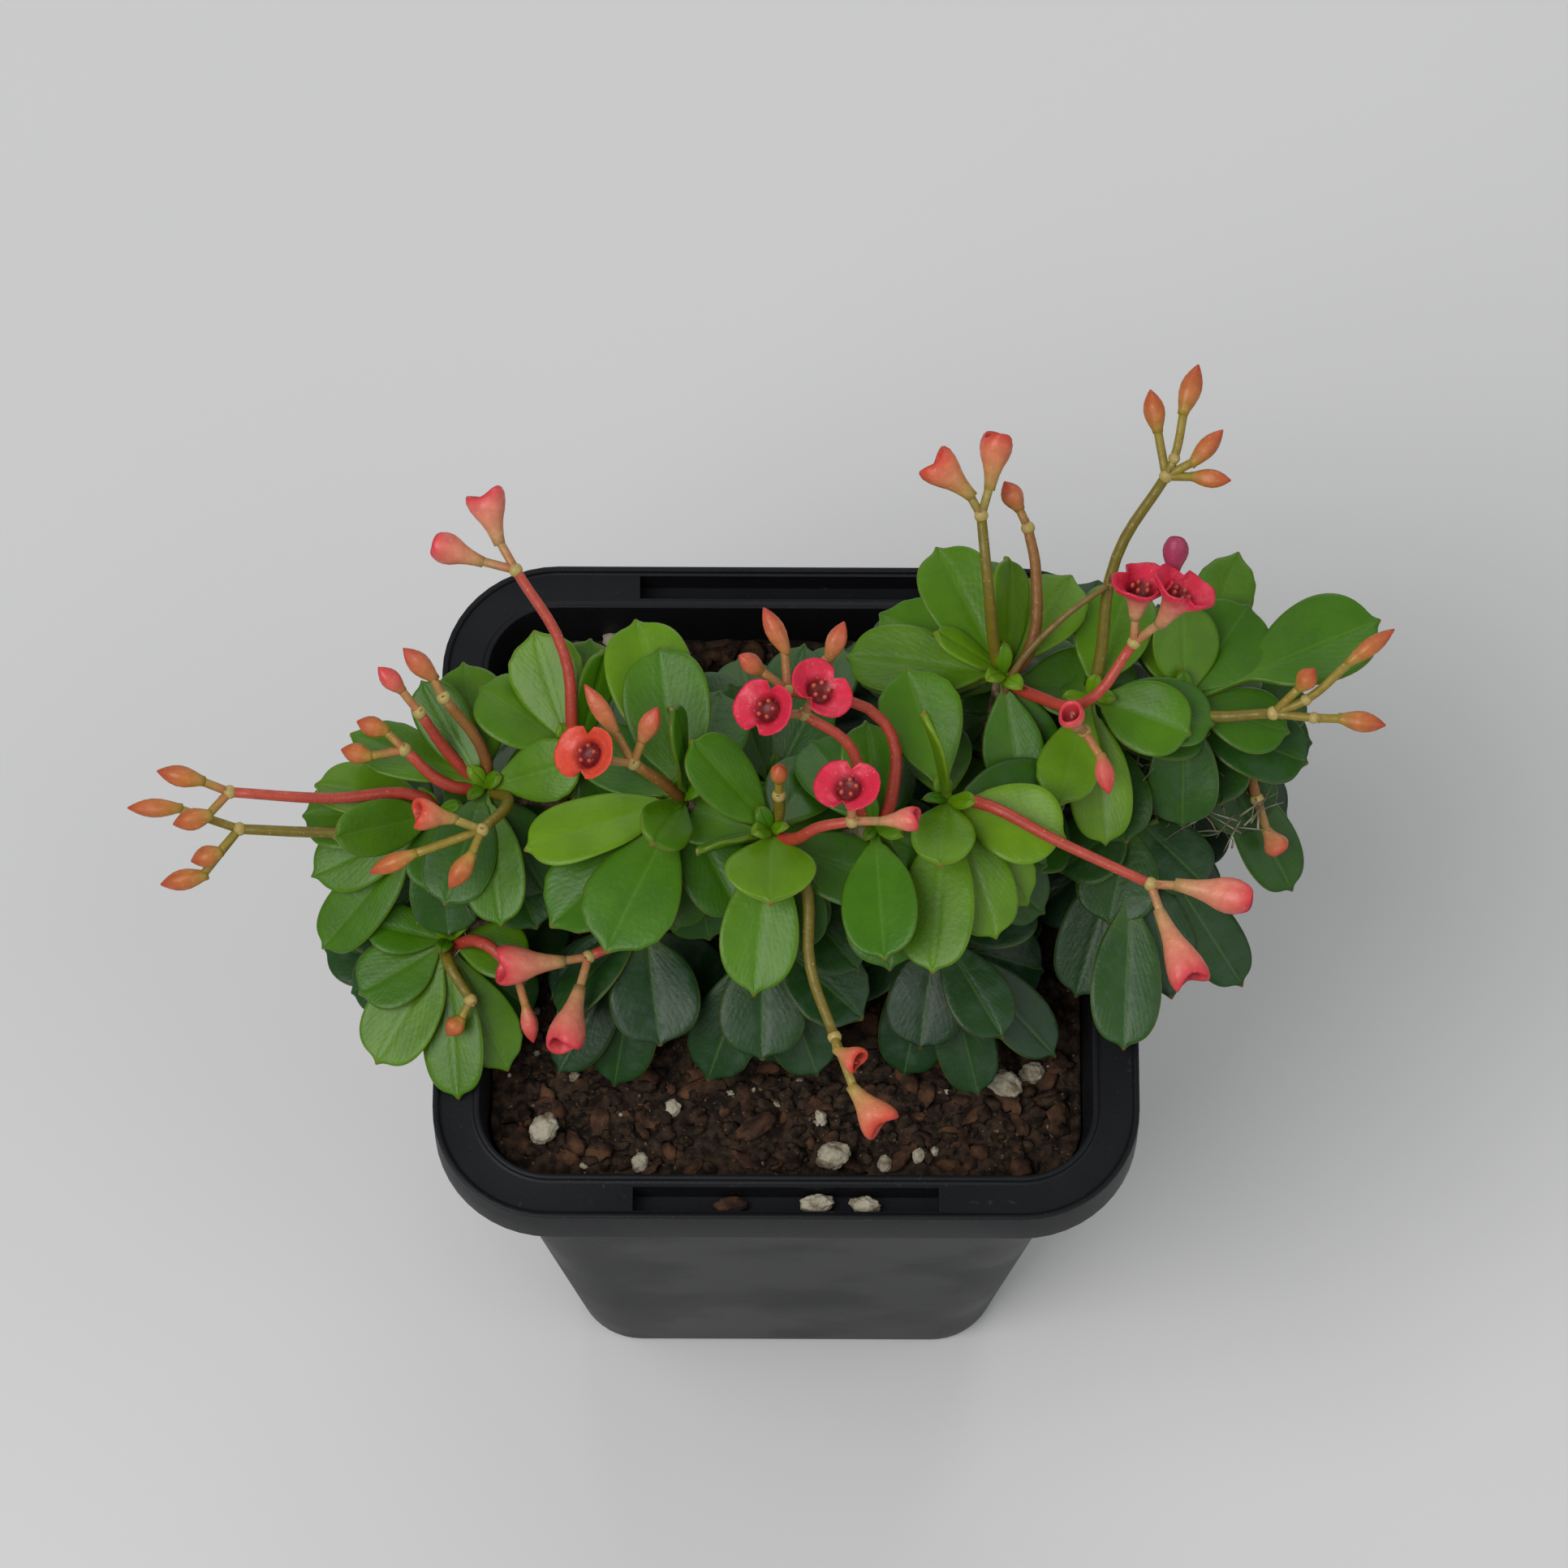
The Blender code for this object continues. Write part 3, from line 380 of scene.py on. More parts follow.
def ring_by_ring(name, rings):
    """A closed solid: a face the shape of the first ring, extruded to each next ring."""
    count = len(rings[0])
    bpy.ops.object.select_all(action="DESELECT")
    bpy.ops.mesh.primitive_circle_add(vertices=count, radius=RIM_HALF, fill_type="NGON")
    piece = added(name)
    bpy.ops.object.mode_set(mode="EDIT")
    bpy.ops.mesh.select_mode(type="FACE")
    for _ in rings[1:]:
        bpy.ops.mesh.extrude_region_move(TRANSFORM_OT_translate={"value": (0, 0, WALL)})
    done()
    # Each extrusion added one ring of points, in the same order round
    places = points_of(piece)
    heights = np.round(places[:, 2] / WALL).astype(int)
    turns = np.round(np.arctan2(places[:, 1], places[:, 0]) / (2 * math.pi) * count).astype(int)
    first = turns[heights == 0].min()
    for number, ring in enumerate(rings):
        at = np.where(heights == number)[0]
        order = (turns[at] - first) % count
        places[at] = ring[order]
    set_points(piece, places)
    edit(piece)
    bpy.ops.mesh.select_all(action="SELECT")
    bpy.ops.mesh.normals_make_consistent(inside=False)
    done()
    return piece


# %% Shape the shell
rim_top = POT_HEIGHT - RIM_SINK
rim_under = rim_top - WALL
lip_rings = [
    (0.0, POT_HEIGHT - 0.35 * MM),
    (0.06 * MM, POT_HEIGHT - 0.12 * MM),
    (0.20 * MM, POT_HEIGHT - 0.02 * MM),
    (0.40 * MM, POT_HEIGHT),
    (0.62 * MM, POT_HEIGHT - 0.03 * MM),
    (0.78 * MM, POT_HEIGHT - 0.16 * MM),
    (0.86 * MM, rim_top + 0.14 * MM),
    (1.05 * MM, rim_top + 0.02 * MM),
    (1.25 * MM, rim_top),
]
pot_rings = [
    wall_ring(0.0, 1.1 * MM),
    wall_ring(0.3 * MM, 0.4 * MM),
    wall_ring(1.1 * MM, 0.0),
]
pot_rings += [wall_ring(rim_under * share, 0.0) for share in (0.25, 0.5, 0.75)]
pot_rings += [
    wall_ring(rim_under, 0.0),
    rim_ring(WALL, rim_under),
    rim_ring(WALL, SKIRT_FOOT + 0.2 * MM),
    rim_ring(WALL - 0.2 * MM, SKIRT_FOOT),
    rim_ring(0.25 * MM, SKIRT_FOOT),
    rim_ring(0.0, SKIRT_FOOT + 0.3 * MM),
]
pot_rings += [rim_ring(inset, height) for inset, height in lip_rings]
pot_rings += [rim_ring(RIM_WIDTH - inset, height) for inset, height in reversed(lip_rings)]
pot_rings += [wall_ring(90 * MM, WALL), wall_ring(60 * MM, WALL), wall_ring(POT_FLOOR + 1 * MM, WALL)]
pot_rings.append(wall_ring(POT_FLOOR, 2 * WALL))
pot = ring_by_ring("pot_shell", pot_rings)
print("pot shell:", len(pot.data.polygons), "faces")


# %% Cut the troughs and the drain holes
def block(low, high):
    low, high = Vector(low), Vector(high)
    bpy.ops.object.select_all(action="DESELECT")
    bpy.ops.mesh.primitive_cube_add(size=1.0, location=(low + high) / 2, scale=high - low)
    bpy.ops.object.transform_apply(location=True, rotation=True, scale=True)
    return bpy.context.active_object


def cut(piece, tools, operation):
    tool = joined(tools, "tool")
    step = piece.modifiers.new("cut", "BOOLEAN")
    step.operation = operation
    step.solver = "EXACT"
    step.object = tool
    apply_all(piece)
    drop(tool)


beds, pockets = [], []
for side in range(4):
    turn = Matrix.Rotation(math.radians(90) * side, 4, "Z")
    bed = block(
        (-TROUGH_HALF - WALL, -RIM_HALF + 0.5 * MM, TROUGH_FLOOR - WALL),
        (TROUGH_HALF + WALL, -RIM_HALF + RIM_WIDTH - 0.4 * MM, rim_top - WALL / 2),
    )
    pocket = block(
        (-TROUGH_HALF, -RIM_HALF + WALL, TROUGH_FLOOR),
        (TROUGH_HALF, -RIM_HALF + WALL + TROUGH_WIDTH, POT_HEIGHT + WALL),
    )
    beds.append(moved(bed, turn))
    pockets.append(moved(pocket, turn))
cut(pot, beds, "UNION")
cut(pot, pockets, "DIFFERENCE")
drains = []
for x in (-1, 1):
    for y in (-1, 1):
        bpy.ops.object.select_all(action="DESELECT")
        bpy.ops.mesh.primitive_cylinder_add(
            vertices=32, radius=DRAIN_RADIUS, depth=4 * POT_FLOOR, location=(x * DRAIN_OFFSET, y * DRAIN_OFFSET, 0)
        )
        bpy.ops.object.transform_apply(location=True)
        drains.append(bpy.context.active_object)
cut(pot, drains, "DIFFERENCE")

# %% [markdown]
# Moulded black plastic is satin, never quite even: a fine grain, faint wipe marks and a
# little pale dust where the rim is touched. Colour and gloss both follow that noise.

# %% Pot material
plastic, plastic_shader = new_material("charcoal_plastic", 0.46, 0.16)
cloudy = stretch(plastic, noise(plastic, 55.0, 5.0), 0.35, 0.7)
plastic_colour = blend(plastic, cloudy, (0.0075, 0.008, 0.0095), (0.0105, 0.011, 0.013))
dust = stretch(plastic, noise(plastic, 900.0, 2.0), 0.66, 0.8)
plastic_colour = blend(plastic, sums(plastic, "MULTIPLY", dust, 0.5), plastic_colour, (0.045, 0.042, 0.04))
join(plastic, plastic_colour, plastic_shader.inputs["Base Color"])
join(plastic, stretch(plastic, cloudy, 0, 1, 0.42, 0.5), plastic_shader.inputs["Roughness"])
bump(plastic, plastic_shader, noise(plastic, 2600.0, 2.0), 0.03 * MM)
finish_piece(pot, plastic, "pot", "pot", smooth=False)
only(pot)
bpy.ops.object.shade_smooth_by_angle(angle=math.radians(38))

# %% [markdown]
# ## The potting mix
# The mix is peat with bark, grit and perlite. The bed is a fine grid drawn in to the
# pot's rounded square and pushed up and down by two Displace modifiers. Loose crumbs are
# then strewn on it: three low forms are modelled once and copied many times.

# %% The bed of the mix
MIX_TOP = 92 * MM
MIX_SIDE = 14 * MM
MIX_GRID = 130
mix_half = wall_ring(MIX_TOP, WALL + 0.3 * MM)[:, 0].max()
mix_corner = 8.3 * MM


def into_pot(x, y):
    """Draw points of a square in to the rounded square of the pot's mouth."""
    inner = mix_half - mix_corner
    over_x = np.maximum(np.abs(x) - inner, 0)
    over_y = np.maximum(np.abs(y) - inner, 0)
    longest = np.maximum(over_x, over_y)
    span = np.hypot(over_x, over_y)
    share = np.where(span > 0, longest / np.maximum(span, 1e-9), 1.0)
    new_x = np.sign(x) * (np.minimum(np.abs(x), inner) + over_x * share)
    new_y = np.sign(y) * (np.minimum(np.abs(y), inner) + over_y * share)
    return new_x, new_y


bpy.ops.object.select_all(action="DESELECT")
bpy.ops.mesh.primitive_grid_add(x_subdivisions=MIX_GRID, y_subdivisions=MIX_GRID, size=2 * mix_half)
mix = added("potting_mix_bed")
places = points_of(mix)
places[:, 0], places[:, 1] = into_pot(places[:, 0], places[:, 1])
places[:, 2] = MIX_TOP
set_points(mix, places)
for scale, strength in ((9 * MM, 3.4 * MM), (2.6 * MM, 2.0 * MM)):
    clouds = bpy.data.textures.new("clouds", "CLOUDS")
    clouds.noise_scale = scale
    clouds.noise_depth = 3
    swell = mix.modifiers.new("swell", "DISPLACE")
    swell.texture = clouds
    swell.texture_coords = "GLOBAL"
    swell.direction = "Z"
    swell.strength = strength
apply_all(mix)
bed_points = points_of(mix)
edit(mix)
bpy.ops.mesh.select_all(action="DESELECT")
bpy.ops.mesh.select_mode(type="EDGE")
bpy.ops.mesh.select_non_manifold(extend=False)
bpy.ops.mesh.extrude_region_move(TRANSFORM_OT_translate={"value": (0, 0, -MIX_SIDE)})
bpy.ops.transform.resize(value=(0.94, 0.94, 0), center_override=(0, 0, MIX_TOP - MIX_SIDE))
bpy.ops.mesh.edge_face_add()
bpy.ops.mesh.select_all(action="SELECT")
bpy.ops.mesh.normals_make_consistent(inside=False)
done()
print("mix bed from", round(bed_points[:, 2].min() / MM, 1), "to", round(bed_points[:, 2].max() / MM, 1), "mm")


def bed_height(x, y):
    """Height of the mix near a place."""
    near = np.argmin((bed_points[:, 0] - x) ** 2 + (bed_points[:, 1] - y) ** 2)
    return bed_points[near, 2]


# %% Soil materials
peat, peat_shader = new_material("peat", 0.95, 0.2)
crumbly = stretch(peat, noise(peat, 700.0, 6.0), 0.35, 0.68)
peat_colour = blend(peat, crumbly, (0.010, 0.006, 0.004), (0.050, 0.030, 0.018))
peat_colour = blend(peat, stretch(peat, noise(peat, 1500.0, 2.0), 0.66, 0.74), peat_colour, (0.16, 0.10, 0.055))
join(peat, peat_colour, peat_shader.inputs["Base Color"])
bump(peat, peat_shader, noise(peat, 1800.0, 5.0), 0.4 * MM)

bark, bark_shader = new_material("pine_bark", 0.85, 0.25)
layers = stretch(bark, noise(bark, 420.0, 5.0), 0.35, 0.7)
join(bark, blend(bark, layers, (0.022, 0.010, 0.006), (0.10, 0.045, 0.02)), bark_shader.inputs["Base Color"])
bump(bark, bark_shader, noise(bark, 1200.0, 4.0), 0.3 * MM)

perlite, perlite_shader = new_material("perlite", 0.9, 0.3)
stained = stretch(perlite, noise(perlite, 520.0, 5.0), 0.45, 0.72)
join(perlite, blend(perlite, stained, (0.40, 0.36, 0.27), (0.14, 0.10, 0.06)), perlite_shader.inputs["Base Color"])
bump(perlite, perlite_shader, noise(perlite, 2200.0, 4.0), 0.3 * MM)
finish_piece(mix, peat, "potting_mix", "potting_mix")


# %% [markdown]
# A crumb is a ball whose points are pushed about at random, then flattened. Only a few
# dozen faces are used, because each crumb is copied hundreds of times.

# %% Strew the crumbs
def crumb_form(name, flat, long, seed):
    bpy.ops.object.select_all(action="DESELECT")
    bpy.ops.mesh.primitive_uv_sphere_add(segments=7, ring_count=5, radius=1.0)
    form = added(name)
    bpy.ops.object.mode_set(mode="EDIT")
    bpy.ops.mesh.select_all(action="SELECT")
    bpy.ops.transform.vertex_random(offset=0.30, uniform=0.6, normal=0.4, seed=seed)
    bpy.ops.transform.resize(value=(long, 1.0, flat))
    done()
    return form


def strewn(name, form, spots, material, slot):
    """Copies of a form at (x, y, size, seed) spots, as one piece."""
    base = points_of(form)
    faces = [tuple(face.vertices) for face in form.data.polygons]
    all_points, all_faces = [], []
    for count, (x, y, size) in enumerate(spots):
        turn = Matrix.Rotation(random.uniform(0, 2 * math.pi), 3, "Z")
        lean = Matrix.Rotation(random.uniform(-0.6, 0.6), 3, "X")
        stretch_by = np.array([random.uniform(0.75, 1.3) for _ in range(3)])
        points = (base * stretch_by * size) @ np.array(turn @ lean).T
        points += (x, y, bed_height(x, y) + 0.25 * size)
        all_points.append(points)
        offset = count * len(base)
        all_faces.extend(tuple(index + offset for index in face) for face in faces)
    mesh = bpy.data.meshes.new(name)
    mesh.from_pydata(np.concatenate(all_points).tolist(), [], all_faces)
    piece = bpy.data.objects.new(name, mesh)
    bpy.context.scene.collection.objects.link(piece)
    drop(form)
    print(name, len(spots), "crumbs")
    return finish_piece(piece, material, slot)


def spots(count, smallest, largest):
    found = []
    for _ in range(count):
        x, y = (random.uniform(-0.965, 0.965) * mix_half for _ in range(2))
        (x,), (y,) = into_pot(np.array([x]), np.array([y]))
        found.append((x * 0.985, y * 0.985, random.uniform(smallest, largest) * MM))
    return found


strewn("peat_crumbs", crumb_form("crumb", 0.75, 1.1, 1), spots(1300, 0.35, 1.1), peat, "potting_mix")
strewn("bark_flakes", crumb_form("flake", 0.35, 1.7, 2), spots(420, 0.5, 1.35), bark, "bark")
strewn("perlite_crumbs", crumb_form("bead", 0.85, 1.1, 3), spots(110, 0.3, 0.85), perlite, "perlite")


# %% [markdown]
# The larger pieces lie where the mix was top dressed, and three have fallen in the
# trough at the front. Each is a ball with a Displace modifier for its broken surface.

# %% Single grains
def grain(name, x, y, low, half_sizes, turn, seed, material, slot, *nodes):
    bpy.ops.object.select_all(action="DESELECT")
    bpy.ops.mesh.primitive_ico_sphere_add(subdivisions=4, radius=1.0)
    piece = added(name)
    clouds = bpy.data.textures.new(name, "CLOUDS")
    clouds.noise_scale = 0.55
    clouds.noise_depth = 4
    set_points(piece, points_of(piece) + seed * 7.0)
    rough = piece.modifiers.new("rough", "DISPLACE")
    rough.texture = clouds
    rough.strength = 0.7
    apply_all(piece)
    places = points_of(piece)
    low_corner, high_corner = places.min(0), places.max(0)
    places = (places - (low_corner + high_corner) / 2) / (high_corner - low_corner) * 2
    set_points(piece, places * np.array(half_sizes) * MM)
    moved(piece, Matrix.Rotation(math.radians(turn), 4, "Z"))
    moved(piece, Matrix.Translation((x * MM, y * MM, low + half_sizes[2] * MM)))
    return finish_piece(piece, material, slot, *nodes)


in_trough = TROUGH_FLOOR + 0.2 * MM
grain("trough_perlite_1", 4.0, -42.1, in_trough, (2.2, 1.25, 1.5), 8, 1, perlite, "perlite", "perlite_grain_1")
grain("trough_perlite_2", 10.0, -42.2, in_trough, (2.1, 1.25, 1.4), -6, 2, perlite, "perlite", "perlite_grain_2")
grain("trough_bark", -7.0, -42.0, in_trough, (2.2, 1.1, 0.9), 5, 3, bark, "bark", "bark_chip_1")
grain("mix_perlite_3", 6.0, -34.5, 92.6 * MM, (2.4, 1.9, 1.6), 20, 4, perlite, "perlite", "perlite_grain_3")
grain("mix_perlite_4", -31.0, -31.0, 92.6 * MM, (2.2, 1.8, 1.7), 60, 5, perlite, "perlite", "perlite_grain_4")
grain("mix_perlite_5", 28.0, -24.5, 92.6 * MM, (2.6, 1.9, 1.5), -25, 6, perlite, "perlite", "perlite_grain_5")
grain("mix_bark_2", -4.0, -30.5, 92.8 * MM, (3.0, 1.5, 0.9), 35, 7, bark, "bark", "bark_chip_2")
grain("mix_bark_3", -22.0, 34.0, 92.8 * MM, (2.8, 1.4, 0.9), -20, 8, bark, "bark", "bark_chip_3")
EXTRA_GRAINS = (
    (-14.9, -27.5, 1.5, 1), (-18.7, -35.0, 1.4, 1), (4.3, -28.9, 1.3, 1), (24.5, -21.6, 1.7, 1),
    (31.5, -22.5, 1.8, 1), (-11.7, -35.6, 1.7, 0), (-23.8, -29.0, 2.6, 0), (-23.1, 37.5, 1.6, 1),
    (-28.0, -34.0, 2.2, 0), (16.8, -28.2, 1.5, 0), (22.0, -31.6, 1.9, 0), (12.6, -35.0, 1.2, 1),
    (30.0, -29.5, 1.9, 0), (-7.0, -26.0, 1.1, 1), (-2.0, -34.8, 2.1, 0), (17.0, -33.8, 1.1, 1),
)
for number, (x, y, size, pale) in enumerate(EXTRA_GRAINS, start=1):
    place = bed_height(x * MM, y * MM) - 0.4 * size * MM
    sizes = (size, size * 0.8, size * 0.7) if pale else (size, size * 0.5, size * 0.35)
    chosen = (perlite, "perlite") if pale else (bark, "bark")
    grain(f"dressing_{number:02d}", x, y, place, sizes, 37 * number, 10 + number, *chosen)


# %% [markdown]
# ## Where the plant's parts stand
# Places are in millimetres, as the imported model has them. A trunk is its foot, its fork
# and its radius, then a bend for each branch. A rosette is its shoot tip, its leaves
# (x and y of the tip, rise, width, roll) and how many leaves hang below.

# %% Trunks, rosettes and flower stalks
TRUNKS = {
    "stem_west": (
        ((-16, 6, 92), (-21, 5, 108), 2.4),
        {
            "rosette_north_west": (-30, 5, 117),
            "rosette_west": (-34, 3, 114),
            "rosette_south_west": (-32, -3, 106),
            "rosette_north": (-24, 6, 118),
            "rosette_back_west": (-19, 9, 110),
            "rosette_front_west": (-20, -1, 107),
        },
    ),
    "stem_middle": (
        ((-1, 3, 92), (-2, 1, 108), 2.6),
        {
            "rosette_middle_west": (-9, 0, 120),
            "rosette_middle": (-2, -2, 120),
            "rosette_centre_east": (5, -2, 120),
            "rosette_back_middle": (-2, 4, 112),
            "rosette_front": (-3, -5, 109),
        },
    ),
    "stem_east": (
        ((20, 8, 92), (24, 9, 107), 2.6),
        {
            "rosette_middle_east": (21, 3, 120),
            "rosette_north_east": (26, 13, 120),
            "rosette_east": (33, 11, 118),
            "rosette_far_east": (39, 12, 115),
            "rosette_low_east": (43, 15, 108),
            "rosette_south_east": (34, 7, 107),
            "rosette_front_east": (22, -1, 107),
            "rosette_back_east": (18, 14, 110),
            "rosette_back_corner": (34, 18, 109),
        },
    ),
}

ROSETTES = {
    "rosette_west": (
        (-44, 2, 120),
        (
            (-59, 6, 5, 9, 20),
            (-61, 3, -9, 10, 0),
            (-61, -4, -8, 9, -10),
            (-58, -6, 6, 7, -30),
            (-60, -12, -25, 8, 0),
            (-45, -8, 2, 7, 0),
        ),
        3,
    ),
    "rosette_south_west": (
        (-43, -11, 108),
        (
            (-54, -17, -5, 9, 0),
            (-52, -25, -15, 9.5, 0),
            (-42, -29, -20, 8, 15),
            (-35, -26, -12, 8, 0),
            (-33, -13, -10, 8, 0),
            (-53, -9, 12, 7, 0),
        ),
        2,
    ),
    "rosette_north_west": (
        (-38, 4, 124),
        (
            (-41, 20, 5, 9.5, 0),
            (-46, 16, 18, 7, -20),
            (-54, 11, 14, 8, 10),
            (-25, 4, 22, 8, 25),
            (-36, -13, -8, 8, 10),
        ),
        3,
    ),
    "rosette_north": (
        (-27, 7, 128),
        (
            (-38, 15, 12, 10, 10),
            (-32, 21, 16, 9.5, -15),
            (-25, 22, 4, 8, 0),
            (-23, 17, 34, 6, 50),
        ),
        3,
    ),
    "rosette_middle_west": (
        (-13, -1, 132),
        (
            (-19, 22, 0, 11, 0),
            (-16, 17, 16, 11, -10),
            (-32, -7, 2, 9, 10),
            (-29, -15, -14, 11.5, 10),
            (-22, -20, 0, 12, 0),
            (-16, -9, 42, 7, -20),
            (-13, 4, 70, 7, 80),
        ),
        2,
    ),
    "rosette_middle": (
        (-2, -6, 134),
        (
            (-13, 4, 14, 9, 15),
            (-2, -16, 26, 11.5, 0),
            (-4, -25, -14, 10, 0),
            (-11, -9, 20, 4, 60),
        ),
        2,
    ),
    "rosette_centre_east": (
        (11, -5, 133),
        (
            (10, 7, 22, 8, 15),
            (12, -22, 4, 9.5, 10),
        ),
        2,
    ),
    "rosette_back_middle": (
        (-2, 6, 118),
        (
            (-12, 23, -6, 9.5, 0),
            (-6, 27, -15, 9, 8),
            (-7, 19, 15, 8, 5),
            (4, 18, 17, 8, -5),
            (2, 27, -5, 8.5, 0),
            (7, 29, -16, 8, 0),
        ),
        3,
    ),
    "rosette_middle_east": (
        (20, -1, 132),
        (
            (15, 15, 12, 10.5, 0),
            (18, 4, 72, 6, 85),
            (19, -11, 36, 8, 0),
            (34, -6, 6, 10.5, 10),
            (18, -22, -6, 9.5, 10),
            (26, -17, -12, 9, 0),
            (30, -12, -20, 8, 0),
        ),
        2,
    ),
    "rosette_north_east": (
        (27, 16, 132),
        (
            (19, 32, 10, 10, 0),
            (28, 28, 34, 7, 50),
            (19, 20, 30, 5, 30),
            (35, 29, 16, 10, -10),
            (8, 19, 0, 9.5, 0),
            (12, 27, -15, 9, 0),
            (25, 34, -14, 9, 0),
            (29, 3, -20, 8, 0),
        ),
        2,
    ),
    "rosette_east": (
        (38, 14, 130),
        (
            (43, 29, 4, 10, 0),
            (50, 9, 6, 9.5, 10),
            (34, 0, 4, 8, 0),
            (40, -3, -18, 8, 0),
        ),
        2,
    ),
    "rosette_far_east": (
        (50, 15, 126),
        (
            (50, 25, 34, 9, 20),
            (58, 27, 12, 11, 0),
            (74, 25, 8, 12, 0),
            (57, 35, 2, 8, 0),
            (63, 12, -6, 9, 0),
            (47, 27, 8, 8, 0),
        ),
        2,
    ),
    "rosette_low_east": (
        (53, 16, 115),
        (
            (55, 6, 4, 9, 0),
            (61, 4, -8, 10, 0),
            (67, 16, -14, 9, 0),
            (65, 0, -36, 8, 0),
            (66, 21, -10, 9, 0),
            (58, 29, -16, 9, 0),
        ),
        2,
    ),
    "rosette_south_east": (
        (44, 5, 112),
        (
            (35, -2, 2, 9.5, 0),
            (41, -8, -10, 10.5, 0),
            (53, -3, -8, 9, 0),
            (49, -16, -18, 8.5, 0),
            (58, -14, -20, 8, 0),
            (37, -15, -26, 9, 0),
            (43, -19, -34, 9, 0),
        ),
        1,
    ),
    "rosette_front_west": (
        (-18, -9, 111),
        (
            (-16, -24, -12, 11.5, 0),
            (-29, -20, -8, 8, 30),
            (-29, -25, -30, 8, 0),
            (-22, -26, -38, 9, 0),
        ),
        1,
    ),
    "rosette_front": (
        (-3, -11, 112),
        (
            (-3, -26, -14, 11, 0),
            (-10, -26, -36, 9, 0),
            (4, -26, -32, 9, 0),
            (9, -21, -12, 10, 0),
        ),
        1,
    ),
    "rosette_front_east": (
        (19, -10, 111),
        (
            (17, -24, -16, 10, 0),
            (27, -23, -14, 8.5, 0),
            (15, -25, -38, 9, 0),
            (34, -23, -26, 8, 0),
            (24, -26, -40, 8, 0),
        ),
        1,
    ),
    "rosette_back_west": (
        (-19, 14, 115),
        (
            (-26, 28, -10, 9, 0),
            (-18, 29, -18, 9, 0),
            (-34, 20, -14, 9, 0),
            (-10, 27, -26, 8, 0),
            (-30, 27, -30, 8, 0),
        ),
        1,
    ),
    "rosette_back_east": (
        (16, 19, 115),
        (
            (15, 34, -14, 9, 0),
            (23, 32, -22, 9, 0),
            (8, 33, -24, 8, 0),
            (28, 26, -10, 8, 0),
        ),
        1,
    ),
    "rosette_back_corner": (
        (38, 23, 114),
        (
            (40, 38, -10, 10, 0),
            (31, 36, -18, 9, 0),
            (49, 34, -16, 9, 0),
            (35, 38, -34, 9, 0),
            (27, 30, -30, 8, 0),
        ),
        1,
    ),
}

